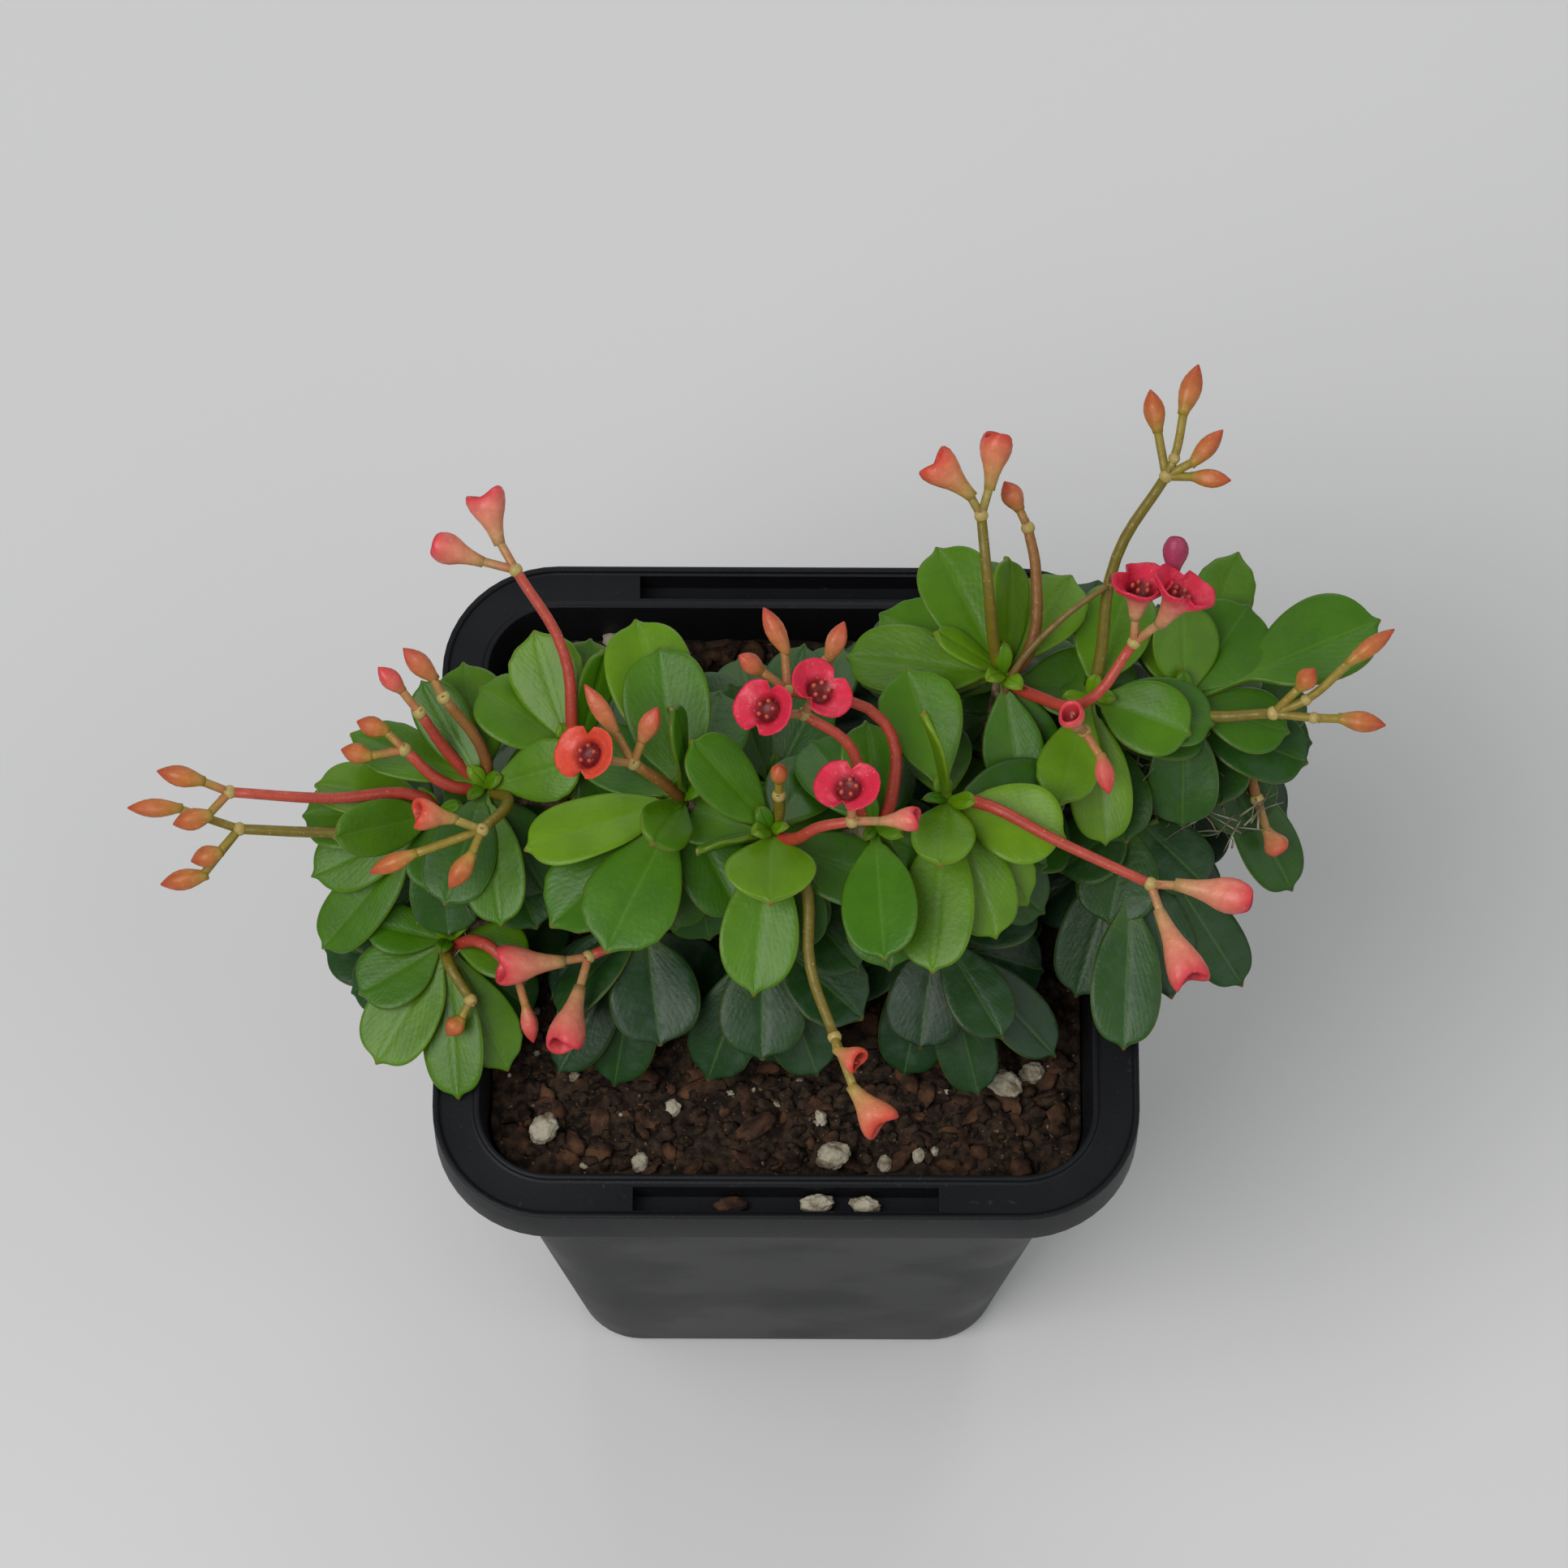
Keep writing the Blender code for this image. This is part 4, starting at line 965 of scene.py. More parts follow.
FLOWER_STALKS = (
    (
        "coral",
        ((-46, 3, 123), (-58, 2, 125), (-70, 2, 127)),
        (("bud", (-73, 3, 128), (-79, 4, 129)), ("bud", (-72, -1, 127), (-77, -2, 126))),
    ),
    (
        "olive",
        ((-46, 0, 120), (-58, -1, 121), (-69, -1, 122)),
        (
            ("bud", (-76, 1, 124), (-83, 1, 124)),
            ("bud", (-71, -4, 122), (-75, -5, 121)),
            ("bud", (-73, -6, 119), (-79, -7, 118)),
        ),
    ),
    (
        "olive",
        ((-35, 1, 127), (-38, -5, 132)),
        (
            ("half", (-41, -4, 133), (-46, -4, 135)),
            ("bud", (-39, -8, 132), (-42, -12, 130)),
            ("bud", (-46, -8, 132), (-52, -10, 130)),
        ),
    ),
    ("brown", ((-38, 7, 127), (-43, 12, 134)), (("bud", (-44, 14, 135), (-48, 17, 138)),)),
    ("coral", ((-42, 7, 126), (-46, 10, 134)), (("bud", (-48, 12, 136), (-51, 14, 139)),)),
    (
        "coral",
        ((-43, 4, 125), (-48, 7, 129)),
        (("bud", (-50, 9, 130), (-54, 10, 131)), ("bud", (-52, 6, 129), (-56, 7, 129))),
    ),
    (
        "coral",
        ((-27, 9, 131), (-28, 17, 137), (-34, 26, 142)),
        (("half", (-36, 29, 143), (-38, 35, 145)), ("half", (-38, 27, 142), (-44, 29, 143))),
    ),
    (
        "brown",
        ((-14, -1, 135), (-19, 0, 142)),
        (
            ("open", (-23, 0, 143), (-26, 0, 146)),
            ("bud", (-21, 3, 144), (-25, 8, 148)),
            ("bud", (-18, 2, 144), (-16, 5, 148)),
        ),
    ),
    (
        "coral",
        ((9, -3, 136), (8, 2, 142), (2, 5, 146)),
        (("open", (-1, 4, 148), (-4, 4, 151)), ("open", (3, 6, 148), (5, 7, 151))),
    ),
    (
        "coral",
        ((13, -2, 136), (12, 6, 141), (0, 9, 144)),
        (
            ("bud", (0, 13, 146), (-3, 18, 149)),
            ("bud", (-3, 11, 145), (-6, 12, 148)),
            ("bud", (5, 13, 144), (7, 17, 147)),
        ),
    ),
    (
        "coral",
        ((1, -8, 137), (4, -8, 141), (8, -8, 143)),
        (("open", (8, -6, 146), (7, -5, 149)), ("half", (11, -8, 143), (16, -8, 144))),
    ),
    (
        "coral",
        ((23, -2, 135), (34, -8, 136), (45, -13, 135)),
        (("half", (48, -13, 135), (57, -15, 135)), ("half", (46, -16, 134), (50, -25, 133))),
    ),
    (
        "olive",
        ((2, -11, 132), (3, -22, 129), (6, -30, 126)),
        (("half", (6, -32, 127), (9, -34, 128)), ("half", (8, -36, 125), (12, -41, 124))),
    ),
    (
        "coral",
        ((-20, -12, 113), (-25, -15, 114)),
        (("half", (-28, -16, 115), (-36, -17, 116)), ("half", (-26, -19, 114), (-28, -27, 114))),
    ),
    ("coral", ((-38, -13, 113), (-34, -17, 112)), (("bud", (-33, -20, 110), (-32, -24, 107)),)),
    ("olive", ((-43, -14, 110), (-40, -19, 109)), (("bud", (-41, -21, 108), (-43, -23, 107)),)),
    (
        "olive",
        ((26, 18, 135), (25, 23, 143), (24, 31, 148)),
        (("half", (23, 33, 149), (18, 37, 151)), ("half", (25, 34, 149), (26, 40, 152))),
    ),
    ("brown", ((30, 18, 134), (31, 27, 140), (30, 32, 142)), (("bud", (29, 34, 143), (27, 37, 145)),)),
    (
        "olive",
        ((39, 17, 132), (41, 28, 142), (47, 36, 149)),
        (
            ("bud", (46, 41, 151), (45, 46, 153)),
            ("bud", (48, 38, 150), (49, 43, 152), (51, 49, 154)),
            ("bud", (50, 37, 150), (54, 41, 152)),
            ("bud", (50, 36, 149), (55, 35, 150)),
        ),
    ),
    (
        "coral",
        ((31, 13, 133), (37, 10, 138), (43, 16, 143)),
        (("open", (43, 18, 146), (44, 23, 149)), ("open", (46, 17, 146), (50, 22, 149))),
    ),
    (
        "coral",
        ((35, 12, 132), (37, 7, 136)),
        (("half", (36, 6, 139), (35, 7, 142)), ("bud", (39, 4, 136), (40, -1, 135))),
    ),
    (
        "olive",
        ((52, 13, 127), (61, 12, 130)),
        (
            ("bud", (65, 13, 132), (70, 17, 134), (76, 21, 136)),
            ("bud", (66, 11, 131), (69, 11, 131), (75, 10, 131)),
            ("bud", (64, 14, 133), (66, 16, 135)),
        ),
    ),
    ("olive", ((-1, -4, 136), (-1, -3, 139)), (("bud", (-1, -2, 141), (-1, -1, 144)),)),
    ("brown", ((57, 14, 116), (60, 8, 111)), (("half", (61, 5, 109), (63, 2, 108)),)),
)


# %% [markdown]
# ## Woody stems
# Old stems are thin, pale brown and knobbly, with a ring where each leaf fell. A stem is
# drawn as a curve with a thickness, made a mesh, and its surface is swollen by noise.


# %% Draw a rod along points
def rod(name, points, radii, sides=4, steps=5):
    """A smooth rod of changing radius, with closed ends, as a mesh."""
    curve = bpy.data.curves.new(name, "CURVE")
    curve.dimensions = "3D"
    curve.bevel_depth = 1.0
    curve.bevel_resolution = sides
    curve.resolution_u = steps
    curve.use_fill_caps = True
    line = curve.splines.new("BEZIER")
    line.bezier_points.add(len(points) - 1)
    for place, point, radius in zip(line.bezier_points, points, radii):
        place.co = point
        place.radius = radius
        place.handle_left_type = place.handle_right_type = "AUTO"
    piece = bpy.data.objects.new(name, curve)
    bpy.context.scene.collection.objects.link(piece)
    only(piece)
    bpy.ops.object.convert(target="MESH")
    piece = bpy.context.active_object
    edit(piece)
    bpy.ops.mesh.select_all(action="SELECT")
    bpy.ops.mesh.remove_doubles(threshold=0.002 * MM)
    bpy.ops.mesh.normals_make_consistent(inside=False)
    done()
    return piece


def in_metres(point):
    return Vector(point) * MM


# %% Stem material
wood, wood_shader = new_material("stem_bark", 0.78, 0.3)
rings = stretch(wood, noise(wood, 650.0, 4.0), 0.35, 0.65)
wood_colour = blend(wood, rings, (0.055, 0.032, 0.017), (0.21, 0.15, 0.085))
wood_colour = blend(wood, stretch(wood, noise(wood, 160.0, 3.0), 0.5, 0.75, 0, 0.6), wood_colour, (0.10, 0.12, 0.045))
join(wood, wood_colour, wood_shader.inputs["Base Color"])
bump(wood, wood_shader, noise(wood, 1700.0, 4.0), 0.25 * MM)

# %% Make the stems
SHOOT_RADIUS = 2.2 * MM
for name, ((foot, fork, radius), branches) in TRUNKS.items():
    foot, fork, radius = in_metres(foot), in_metres(fork), radius * MM
    above = foot + Vector((0, 0, 2.5 * MM))
    below = foot - Vector((0, 0, 6 * MM))
    limbs = [rod(name, (below, above, fork), (radius, radius, 0.85 * radius))]
    for index, (rosette, bend) in enumerate(branches.items()):
        tip = in_metres(ROSETTES[rosette][0])
        bend = in_metres(bend)
        start = above.lerp(fork, 0.92 - 0.45 * index / len(branches))
        end = tip - (tip - bend).normalized() * 0.5 * SHOOT_RADIUS
        limbs.append(rod("limb", (start, bend, end), (0.6 * radius, 0.52 * radius, 0.42 * radius)))
        for count in range(9):
            spot = bend.lerp(end, count / 9) if count % 2 else start.lerp(bend, count / 9)
            bpy.ops.object.select_all(action="DESELECT")
            bpy.ops.mesh.primitive_uv_sphere_add(segments=10, ring_count=6, radius=1.0)
            scar = added("scar")
            out = Vector((random.uniform(-1, 1), random.uniform(-1, 1), random.uniform(-0.3, 0.5)))
            size = Matrix.Diagonal((0.75 * MM, 0.75 * MM, 0.42 * MM, 1.0))
            spot = spot + out.normalized() * 0.42 * radius
            limbs.append(moved(scar, Matrix.Translation(spot) @ size))
    stem = joined(limbs, "bark_" + name)
    finish_piece(stem, wood, "stem", name)
    print(stem.name, len(stem.data.polygons), "faces")

# %% [markdown]
# ## Leaf forms
# A leaf begins as a flat grid. Each row of points is slid to its place along the leaf
# and scaled to the leaf's width there, first the stalk and then the blade. Solidify
# gives it flesh, Subdivision Surface rounds its edge, and a groove marks the midrib.
# Rows 0 to 1 are the stalk, 1 to 2 the blade; the last short row is the point.

# %% Model the leaf forms
BROAD = (
    (0.0, 0.15), (0.5, 0.13), (0.90, 0.18), (1.01, 0.30), (1.10, 0.52), (1.21, 0.74),
    (1.34, 0.91), (1.47, 0.99), (1.59, 1.03), (1.71, 1.01), (1.82, 0.93), (1.90, 0.80),
    (1.955, 0.63), (1.988, 0.42), (2.0, 0.15), (2.05, 0.012),
)
NARROW = (
    (0.0, 0.15), (0.5, 0.13), (0.9, 0.16), (1.01, 0.26), (1.11, 0.46), (1.23, 0.68),
    (1.37, 0.87), (1.50, 0.97), (1.61, 1.01), (1.72, 0.99), (1.82, 0.89), (1.89, 0.76),
    (1.945, 0.58), (1.982, 0.37), (2.0, 0.13), (2.055, 0.012),
)
TOOTHED = (
    (0.0, 0.15), (0.5, 0.13), (0.92, 0.17), (1.03, 0.26), (1.14, 0.47), (1.28, 0.70),
    (1.42, 0.90), (1.56, 1.0), (1.70, 1.05), (1.73, 0.96), (1.84, 0.93), (1.865, 0.80),
    (1.94, 0.66), (1.96, 0.50), (2.0, 0.22), (2.06, 0.012),
)
LEAF_FLESH = 0.95 * MM
ACROSS = 8


def leaf_form(name, rows):
    bpy.ops.object.select_all(action="DESELECT")
    bpy.ops.mesh.primitive_grid_add(
        x_subdivisions=len(rows) - 1, y_subdivisions=ACROSS, size=2.0, calc_uvs=True
    )
    form = added(name)
    width = len(rows)
    edit(form)
    for number, (along, share) in enumerate(rows):
        was = -1.0 + 2.0 * number / (width - 1)
        pick(form, lambda point: point.index % width == number)
        bpy.ops.transform.translate(value=(along - was, 0, 0))
        bpy.ops.transform.resize(value=(1, share, 1), center_override=(along, 0, 0))
    done()
    flesh = form.modifiers.new("flesh", "SOLIDIFY")
    flesh.thickness = LEAF_FLESH
    flesh.offset = 0.0
    rounding = form.modifiers.new("round", "SUBSURF")
    rounding.levels = rounding.render_levels = 1
    apply_all(form)
    places = points_of(form)
    half = np.interp(places[:, 0], [row[0] for row in rows], [row[1] for row in rows])
    out = np.clip(np.abs(places[:, 1]) / half, 0, 1)
    blade = np.clip((places[:, 0] - 1.0) * 4, 0, 1)
    places[:, 2] *= 1.0 + 0.35 * (1 - blade) - 0.45 * blade * out**2
    groove = np.clip(1 - out / 0.14, 0, 1) * blade
    places[:, 2] -= groove * 0.16 * MM
    set_points(form, places)
    form.data.uv_layers[0].name = "leaf"
    print(name, len(form.data.polygons), "faces")
    return form


leaf_forms = [leaf_form("leaf_broad", BROAD), leaf_form("leaf_narrow", NARROW), leaf_form("leaf_toothed", TOOTHED)]

# %% [markdown]
# ## Leaf finish
# Young leaves are bright yellow-green and satin; old ones are dark, bluish and dulled by
# a grey bloom. The dark of the old and low leaves is partly painted shade, standing for the
# shade under the leaves above them. Each leaf carries its age and shade and its own tone.
# Its UV map, which runs along and across the leaf, places the pale midrib, the side veins
# and the thin pale margin.

# %% Leaf material
leaf_skin, leaf_shader = new_material("leaf_skin", 0.42, 0.3)
age_and_shade = attribute(leaf_skin, "age_and_shade")
tone = attribute(leaf_skin, "tone")
leaf_uv = node(leaf_skin, "ShaderNodeUVMap", uv_map="leaf").outputs["UV"]
split = node(leaf_skin, "ShaderNodeSeparateXYZ")
join(leaf_skin, leaf_uv, split.inputs["Vector"])
from_middle = sums(leaf_skin, "ABSOLUTE", sums(leaf_skin, "SUBTRACT", split.outputs["Y"], 0.5), 0.0)
young_lit_tones = blend(leaf_skin, tone, (0.044, 0.150, 0.001), (0.128, 0.252, 0.002))
middle_tones = blend(leaf_skin, tone, (0.022, 0.090, 0.002), (0.042, 0.135, 0.003))
old_shaded_tones = blend(leaf_skin, tone, (0.006, 0.028, 0.007), (0.013, 0.046, 0.012))
# Colour darkens from the young to the old tones with age: partly the leaf's age, partly painted shade on the lower
# leaves.
leaf_colour = blend(leaf_skin, stretch(leaf_skin, age_and_shade, 0.0, 0.5, smooth=False), young_lit_tones, middle_tones)
leaf_colour = blend(leaf_skin, stretch(leaf_skin, age_and_shade, 0.45, 1.0, smooth=False), leaf_colour, old_shaded_tones)
mottle = stretch(leaf_skin, noise(leaf_skin, 260.0, 4.0), 0.3, 0.7)
darker = blend(leaf_skin, 1.0, leaf_colour, (0.62, 0.72, 0.70), "MULTIPLY")
leaf_colour = blend(leaf_skin, sums(leaf_skin, "MULTIPLY", mottle, 0.55), leaf_colour, darker)
foot_pale = stretch(leaf_skin, split.outputs["X"], 0.10, 0.40, 0.45, 0.0)
leaf_colour = blend(leaf_skin, foot_pale, leaf_colour, (0.10, 0.19, 0.02))
rib = stretch(leaf_skin, from_middle, 0.0, 0.03, 0.22, 0.0)
leaf_colour = blend(leaf_skin, rib, leaf_colour, (0.12, 0.25, 0.03))
bloom = sums(leaf_skin, "MULTIPLY", stretch(leaf_skin, noise(leaf_skin, 420.0, 5.0), 0.42, 0.75, 0.0, 0.38), age_and_shade)
leaf_colour = blend(leaf_skin, bloom, leaf_colour, (0.05, 0.09, 0.06))
margin = stretch(leaf_skin, from_middle, 0.472, 0.495)
margin_colour = blend(leaf_skin, tone, (0.13, 0.075, 0.012), (0.20, 0.30, 0.03))
leaf_colour = blend(leaf_skin, sums(leaf_skin, "MULTIPLY", margin, 0.45), leaf_colour, margin_colour)
point_end = stretch(leaf_skin, split.outputs["X"], 0.955, 0.99)
leaf_colour = blend(leaf_skin, sums(leaf_skin, "MULTIPLY", point_end, 0.6), leaf_colour, (0.24, 0.11, 0.02))
join(leaf_skin, leaf_colour, leaf_shader.inputs["Base Color"])
join(leaf_skin, stretch(leaf_skin, sums(leaf_skin, "ADD", bloom, 0.0), 0.0, 0.5, 0.38, 0.62), leaf_shader.inputs["Roughness"])
veins = node(leaf_skin, "ShaderNodeTexWave", wave_type="BANDS", bands_direction="X")
slant = node(leaf_skin, "ShaderNodeCombineXYZ")
join(leaf_skin, sums(leaf_skin, "SUBTRACT", split.outputs["X"], from_middle), slant.inputs["X"])
join(leaf_skin, slant.outputs["Vector"], veins.inputs["Vector"])
veins.inputs["Scale"].default_value = 4.5
veins.inputs["Distortion"].default_value = 1.5
grainy = sums(leaf_skin, "ADD", noise(leaf_skin, 1400.0, 3.0), sums(leaf_skin, "MULTIPLY", veins.outputs["Fac"], 0.10))
bump(leaf_skin, leaf_shader, grainy, 0.06 * MM)

# %% [markdown]
# ## Rosettes
# Every leaf is a copy of a form, bent to its own length, width, cup and droop, then set
# round its shoot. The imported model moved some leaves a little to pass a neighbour, so
# the tilt of each leaf is found by looking for its tip among the node's own points.

# %% Find each leaf's tilt
TILTS = (0, 7, -7, 14, -14, 21, -21, 28)
BLADE_SHARE = 0.84
LONGEST_BLADE = 17 * MM
TIP_DROOP = 0.9 * MM
GOLDEN_ANGLE = math.radians(137.5)
UNDER_LEAF = (-32, 15.5 * MM, 9 * MM, 0)  # rise, reach, width, roll
NEAR = 0.06 * MM


def leaf_turn(shoot, heading, rise, roll):
    return (
        Matrix.Translation(shoot)
        @ Matrix.Rotation(heading, 4, "Z")
        @ Matrix.Rotation(-math.radians(rise), 4, "Y")
        @ Matrix.Rotation(math.radians(roll), 4, "X")
    )


def found_tilt(corners, shoot, heading, rise, reach, roll):
    for tilt in TILTS:
        tip = leaf_turn(shoot, heading, rise + tilt, roll) @ Vector((reach, 0, -TIP_DROOP))
        if np.linalg.norm(corners - np.array(tip), axis=1).min() < NEAR:
            return tilt
    return None


# %% Shape and set one leaf
taken = []  # marks on every leaf that is already set


def leaf_marks(shoot, heading, rise, reach, width, roll):
    """A few points on a leaf's blade, to keep its neighbours clear of it."""
    spread = 0.33 * width
    marks = [(0.5, 0), (0.75, 0), (1.0, 0), (0.62, 1), (0.62, -1), (0.85, 1), (0.85, -1)]
    turn = leaf_turn(shoot, heading, rise, roll)
    return np.array([turn @ Vector((share * reach, side * spread, 0)) for share, side in marks])


def grown_leaf(form, shoot, heading, rise, reach, width, roll, years_and_shade):
    """A copy of a leaf form, bent to its size and set on its shoot."""
    leaf = copied(form)
    x, y, z = points_of(leaf).T
    blade = min(reach * BLADE_SHARE, LONGEST_BLADE)
    foot = reach - blade
    share = np.clip(x - 1, 0, None)
    along = np.where(x < 1, 0.3 * MM + x * (foot - 0.3 * MM), foot + share * blade)
    half = width / 2
    stalk_half = np.clip(1 - share * 6, 0, 1)
    across = y * (half * (1 - stalk_half) + np.minimum(half, 4.6 * MM) * stalk_half)
    cup = random.uniform(0.04, 0.15)
    fold = random.uniform(-0.02, 0.06) / MM
    wave = random.uniform(0.0, 0.32) * MM
    phase = random.uniform(0, 2 * math.pi)
    curl = random.uniform(-1.2, 0.9) * MM
    up = z + cup * np.abs(across) + fold * across**2 * 0.5 - TIP_DROOP * share**2
    up += wave * np.sin(share * 7 + phase) * (across / half) ** 3 + curl * np.clip(share - 0.45, 0, None) ** 2
    along = along - 0.02 * np.abs(across)
    set_points(leaf, np.stack((along, across, up), axis=1))
    leaf.data.transform(leaf_turn(shoot, heading, rise, roll))
    paint(leaf, "age_and_shade", years_and_shade)
    paint(leaf, "tone", random.random())
    taken.append(leaf_marks(shoot, heading, rise, reach, width, roll))
    return leaf


# %% Grow the rosettes
# Leaves of lower shoots are painted darker, partly for age and partly as painted shade under the higher rosettes.
YOUNG_LIT_HEIGHT, OLD_SHADED_HEIGHT = 130 * MM, 109 * MM
KEPT_YOUNG_AND_LIT = {"rosette_south_west": 0.24, "rosette_west": 0.14, "rosette_north_west": 0.12}  # in the light, though low
order = list(ROSETTES)
tufts = {}
leaf_count = 0
for index, name in enumerate(order):
    shoot_mm, rows, _ = ROSETTES[name]
    shoot = in_metres(shoot_mm)
    corners = points_of(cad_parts[name])
    lean = (YOUNG_LIT_HEIGHT - shoot.z) / (YOUNG_LIT_HEIGHT - OLD_SHADED_HEIGHT)
    years_and_shade = KEPT_YOUNG_AND_LIT.get(name, min(1.0, max(0.0, lean)))
    leaves = []
    for number, (tip_x, tip_y, rise, width, roll) in enumerate(rows):
        plan = Vector((tip_x * MM - shoot.x, tip_y * MM - shoot.y))
        reach = plan.length / math.cos(math.radians(rise))
        heading = math.atan2(plan.y, plan.x)
        tilt = found_tilt(corners, shoot, heading, rise, reach, roll)
        if tilt is None:
            print("not in the model:", name, number)
            continue
        own_years_and_shade = min(1.0, max(0.0, years_and_shade + random.uniform(-0.08, 0.12) - (0.25 if rise > 30 else 0)))
        form = leaf_forms[2] if random.random() < 0.16 else leaf_forms[random.random() < 0.35]
        leaves.append(grown_leaf(form, shoot, heading, rise + tilt, reach, width * MM, roll, own_years_and_shade))
    # The leaves under each rosette are painted darker, partly for age and partly as painted shade.
    rise, reach, width, roll = UNDER_LEAF
    for turn in range(16):
        heading = GOLDEN_ANGLE * turn + index
        tilt = found_tilt(corners, shoot, heading, rise, reach, roll)
        if tilt is not None:
            own_years_and_shade = min(1.0, years_and_shade + 0.5)
            leaves.append(grown_leaf(leaf_forms[0], shoot, heading, rise + tilt, reach, width, roll, own_years_and_shade))
    # The youngest leaves stand nearly upright round the growing point
    for turn in range(3):
        heading = GOLDEN_ANGLE * turn + 2.0 * index
        size = (random.uniform(3.4, 5.6) * MM, random.uniform(1.6, 2.6) * MM)
        leaves.append(grown_leaf(leaf_forms[1], shoot, heading, random.uniform(48, 74), *size, 0, max(0.0, years_and_shade - 0.3)))
    tufts[name] = (shoot, leaves, years_and_shade)

# %% [markdown]
# Below the leaves that the light reaches, each shoot keeps older leaves, painted darker
# for their age and as painted shade. They hang ever lower down the shoot, wherever there
# is air between the others.

# %% Hang the old leaves and join each rosette
CLEAR = 2.9 * MM
MOST_OLD = 9


def has_room(marks):
    """True if a leaf is clear of the others, of the pot and of the mix."""
    low, high = Vector(cad_box[0]), Vector(cad_box[1])
    if (marks.min(0) < np.array(low) + 2 * MM).any() or (marks.max(0) > np.array(high) - 2 * MM).any():
        return False
    flat = np.abs(marks[:, :2]).max(axis=1)
    if (marks[:, 2] < 96.5 * MM).any() or ((flat > 36 * MM) & (flat < 48 * MM) & (marks[:, 2] < 103 * MM)).any():
        return False
    others = np.concatenate(taken)
    gaps = np.linalg.norm(others[None] - marks[:, None], axis=2)
    return gaps.min() > CLEAR


for index, (name, (shoot, leaves, years_and_shade)) in enumerate(tufts.items()):
    added_here = 0
    for turn in range(36):
        if added_here == MOST_OLD:
            break
        heading = GOLDEN_ANGLE * turn + 1.3 * index
        drop_by = (2.0 + 0.38 * turn) * MM
        start = shoot - Vector((0, 0, drop_by))
        reach, width = random.uniform(13.5, 17.5) * MM, random.uniform(8.5, 10.8) * MM
        for rise in (-6, -14, -22, -30, -38, 2):
            marks = leaf_marks(start, heading, rise, reach, width, 0)
            if has_room(marks):
                # The lower an old leaf hangs, the darker it is painted: partly its age, partly painted shade.
                own_years_and_shade = min(1.0, years_and_shade + 0.40 + 0.012 * turn)
                form = leaf_forms[random.random() < 0.25]
                leaves.append(grown_leaf(form, start, heading, rise, reach, width, 0, own_years_and_shade))
                added_here += 1
                break
    leaf_count += len(leaves)
    rosette = joined(leaves, "leaves_" + name)
    finish_piece(rosette, leaf_skin, "leaf", name)
drop(*leaf_forms)
print("leaves:", leaf_count)

# %% [markdown]
# ## Flower forms
# A euphorbia's flower is a small cup with two bright lobes. The bud, the half-open and
# the open flower are each a ring extruded upwards ring by ring, as on a lathe, and then
# pressed into two lobes. They are one unit tall, so a copy can be drawn out to length.

# %% Model the bud and the flowers
SIDES = 24
BUD = ((0, 0.62), (0.1, 0.72), (0.24, 1.02), (0.4, 1.28), (0.55, 1.33), (0.7, 1.14), (0.83, 0.78), (0.93, 0.4), (1.0, 0.1))
HALF = (
    (0, 0.62), (0.15, 0.74), (0.3, 0.92), (0.45, 1.2), (0.6, 1.62), (0.75, 1.98), (0.88, 2.1),
    (0.97, 1.95), (1.0, 1.75), (0.96, 1.55), (0.85, 1.42), (0.68, 1.2), (0.55, 0.7),
)
OPEN = (
    (0, 0.62), (0.15, 0.76), (0.32, 0.98), (0.5, 1.3), (0.62, 1.65), (0.70, 2.2), (0.78, 2.9),
    (0.85, 3.35), (0.90, 3.42), (0.92, 3.2), (0.87, 2.6), (0.80, 2.0), (0.72, 1.5), (0.55, 1.2), (0.45, 0.7),
)


def turned_form(name, profile):
    bpy.ops.object.select_all(action="DESELECT")
    bpy.ops.mesh.primitive_circle_add(vertices=SIDES, radius=profile[0][1], fill_type="NGON")
    form = added(name)
    bpy.ops.object.mode_set(mode="EDIT")
    bpy.ops.mesh.select_mode(type="FACE")
    for (z, radius), (next_z, next_radius) in zip(profile, profile[1:]):
        bpy.ops.mesh.extrude_region_move(TRANSFORM_OT_translate={"value": (0, 0, next_z - z)})
        scale = next_radius / radius
        bpy.ops.transform.resize(value=(scale, scale, 1), center_override=(0, 0, next_z))
    bpy.ops.mesh.select_all(action="SELECT")
    bpy.ops.mesh.normals_make_consistent(inside=False)
    done()
    return form


def level_of(form):
    """For each point, how far it is along its profile, from 0 at the foot to 1."""
    return (np.arange(len(form.data.vertices)) // SIDES) / (len(form.data.vertices) // SIDES - 1)


bud_form = turned_form("bud", BUD)
x, y, z = points_of(bud_form).T
seam = 1 - 0.10 * np.abs(np.cos(2 * np.arctan2(y, x))) ** 6 * np.clip(z * 2, 0, 1)
set_points(bud_form, np.stack((x * seam, y * seam * 0.92, z), axis=1))

half_form = turned_form("half_open", HALF)
x, y, z = points_of(half_form).T
angle = np.arctan2(y, x)
radius = np.hypot(x, y)
upper = np.clip((z - 0.6) / 0.4, 0, 1)
press = 1 - 0.24 * upper * np.abs(np.sin(angle)) ** 1.5
z = z + 0.07 * upper * np.abs(np.cos(angle)) ** 2 - 0.05 * upper * np.abs(np.sin(angle)) ** 6
x = x * (1 + 0.06 * upper)
set_points(half_form, np.stack((x, y * press, z), axis=1))

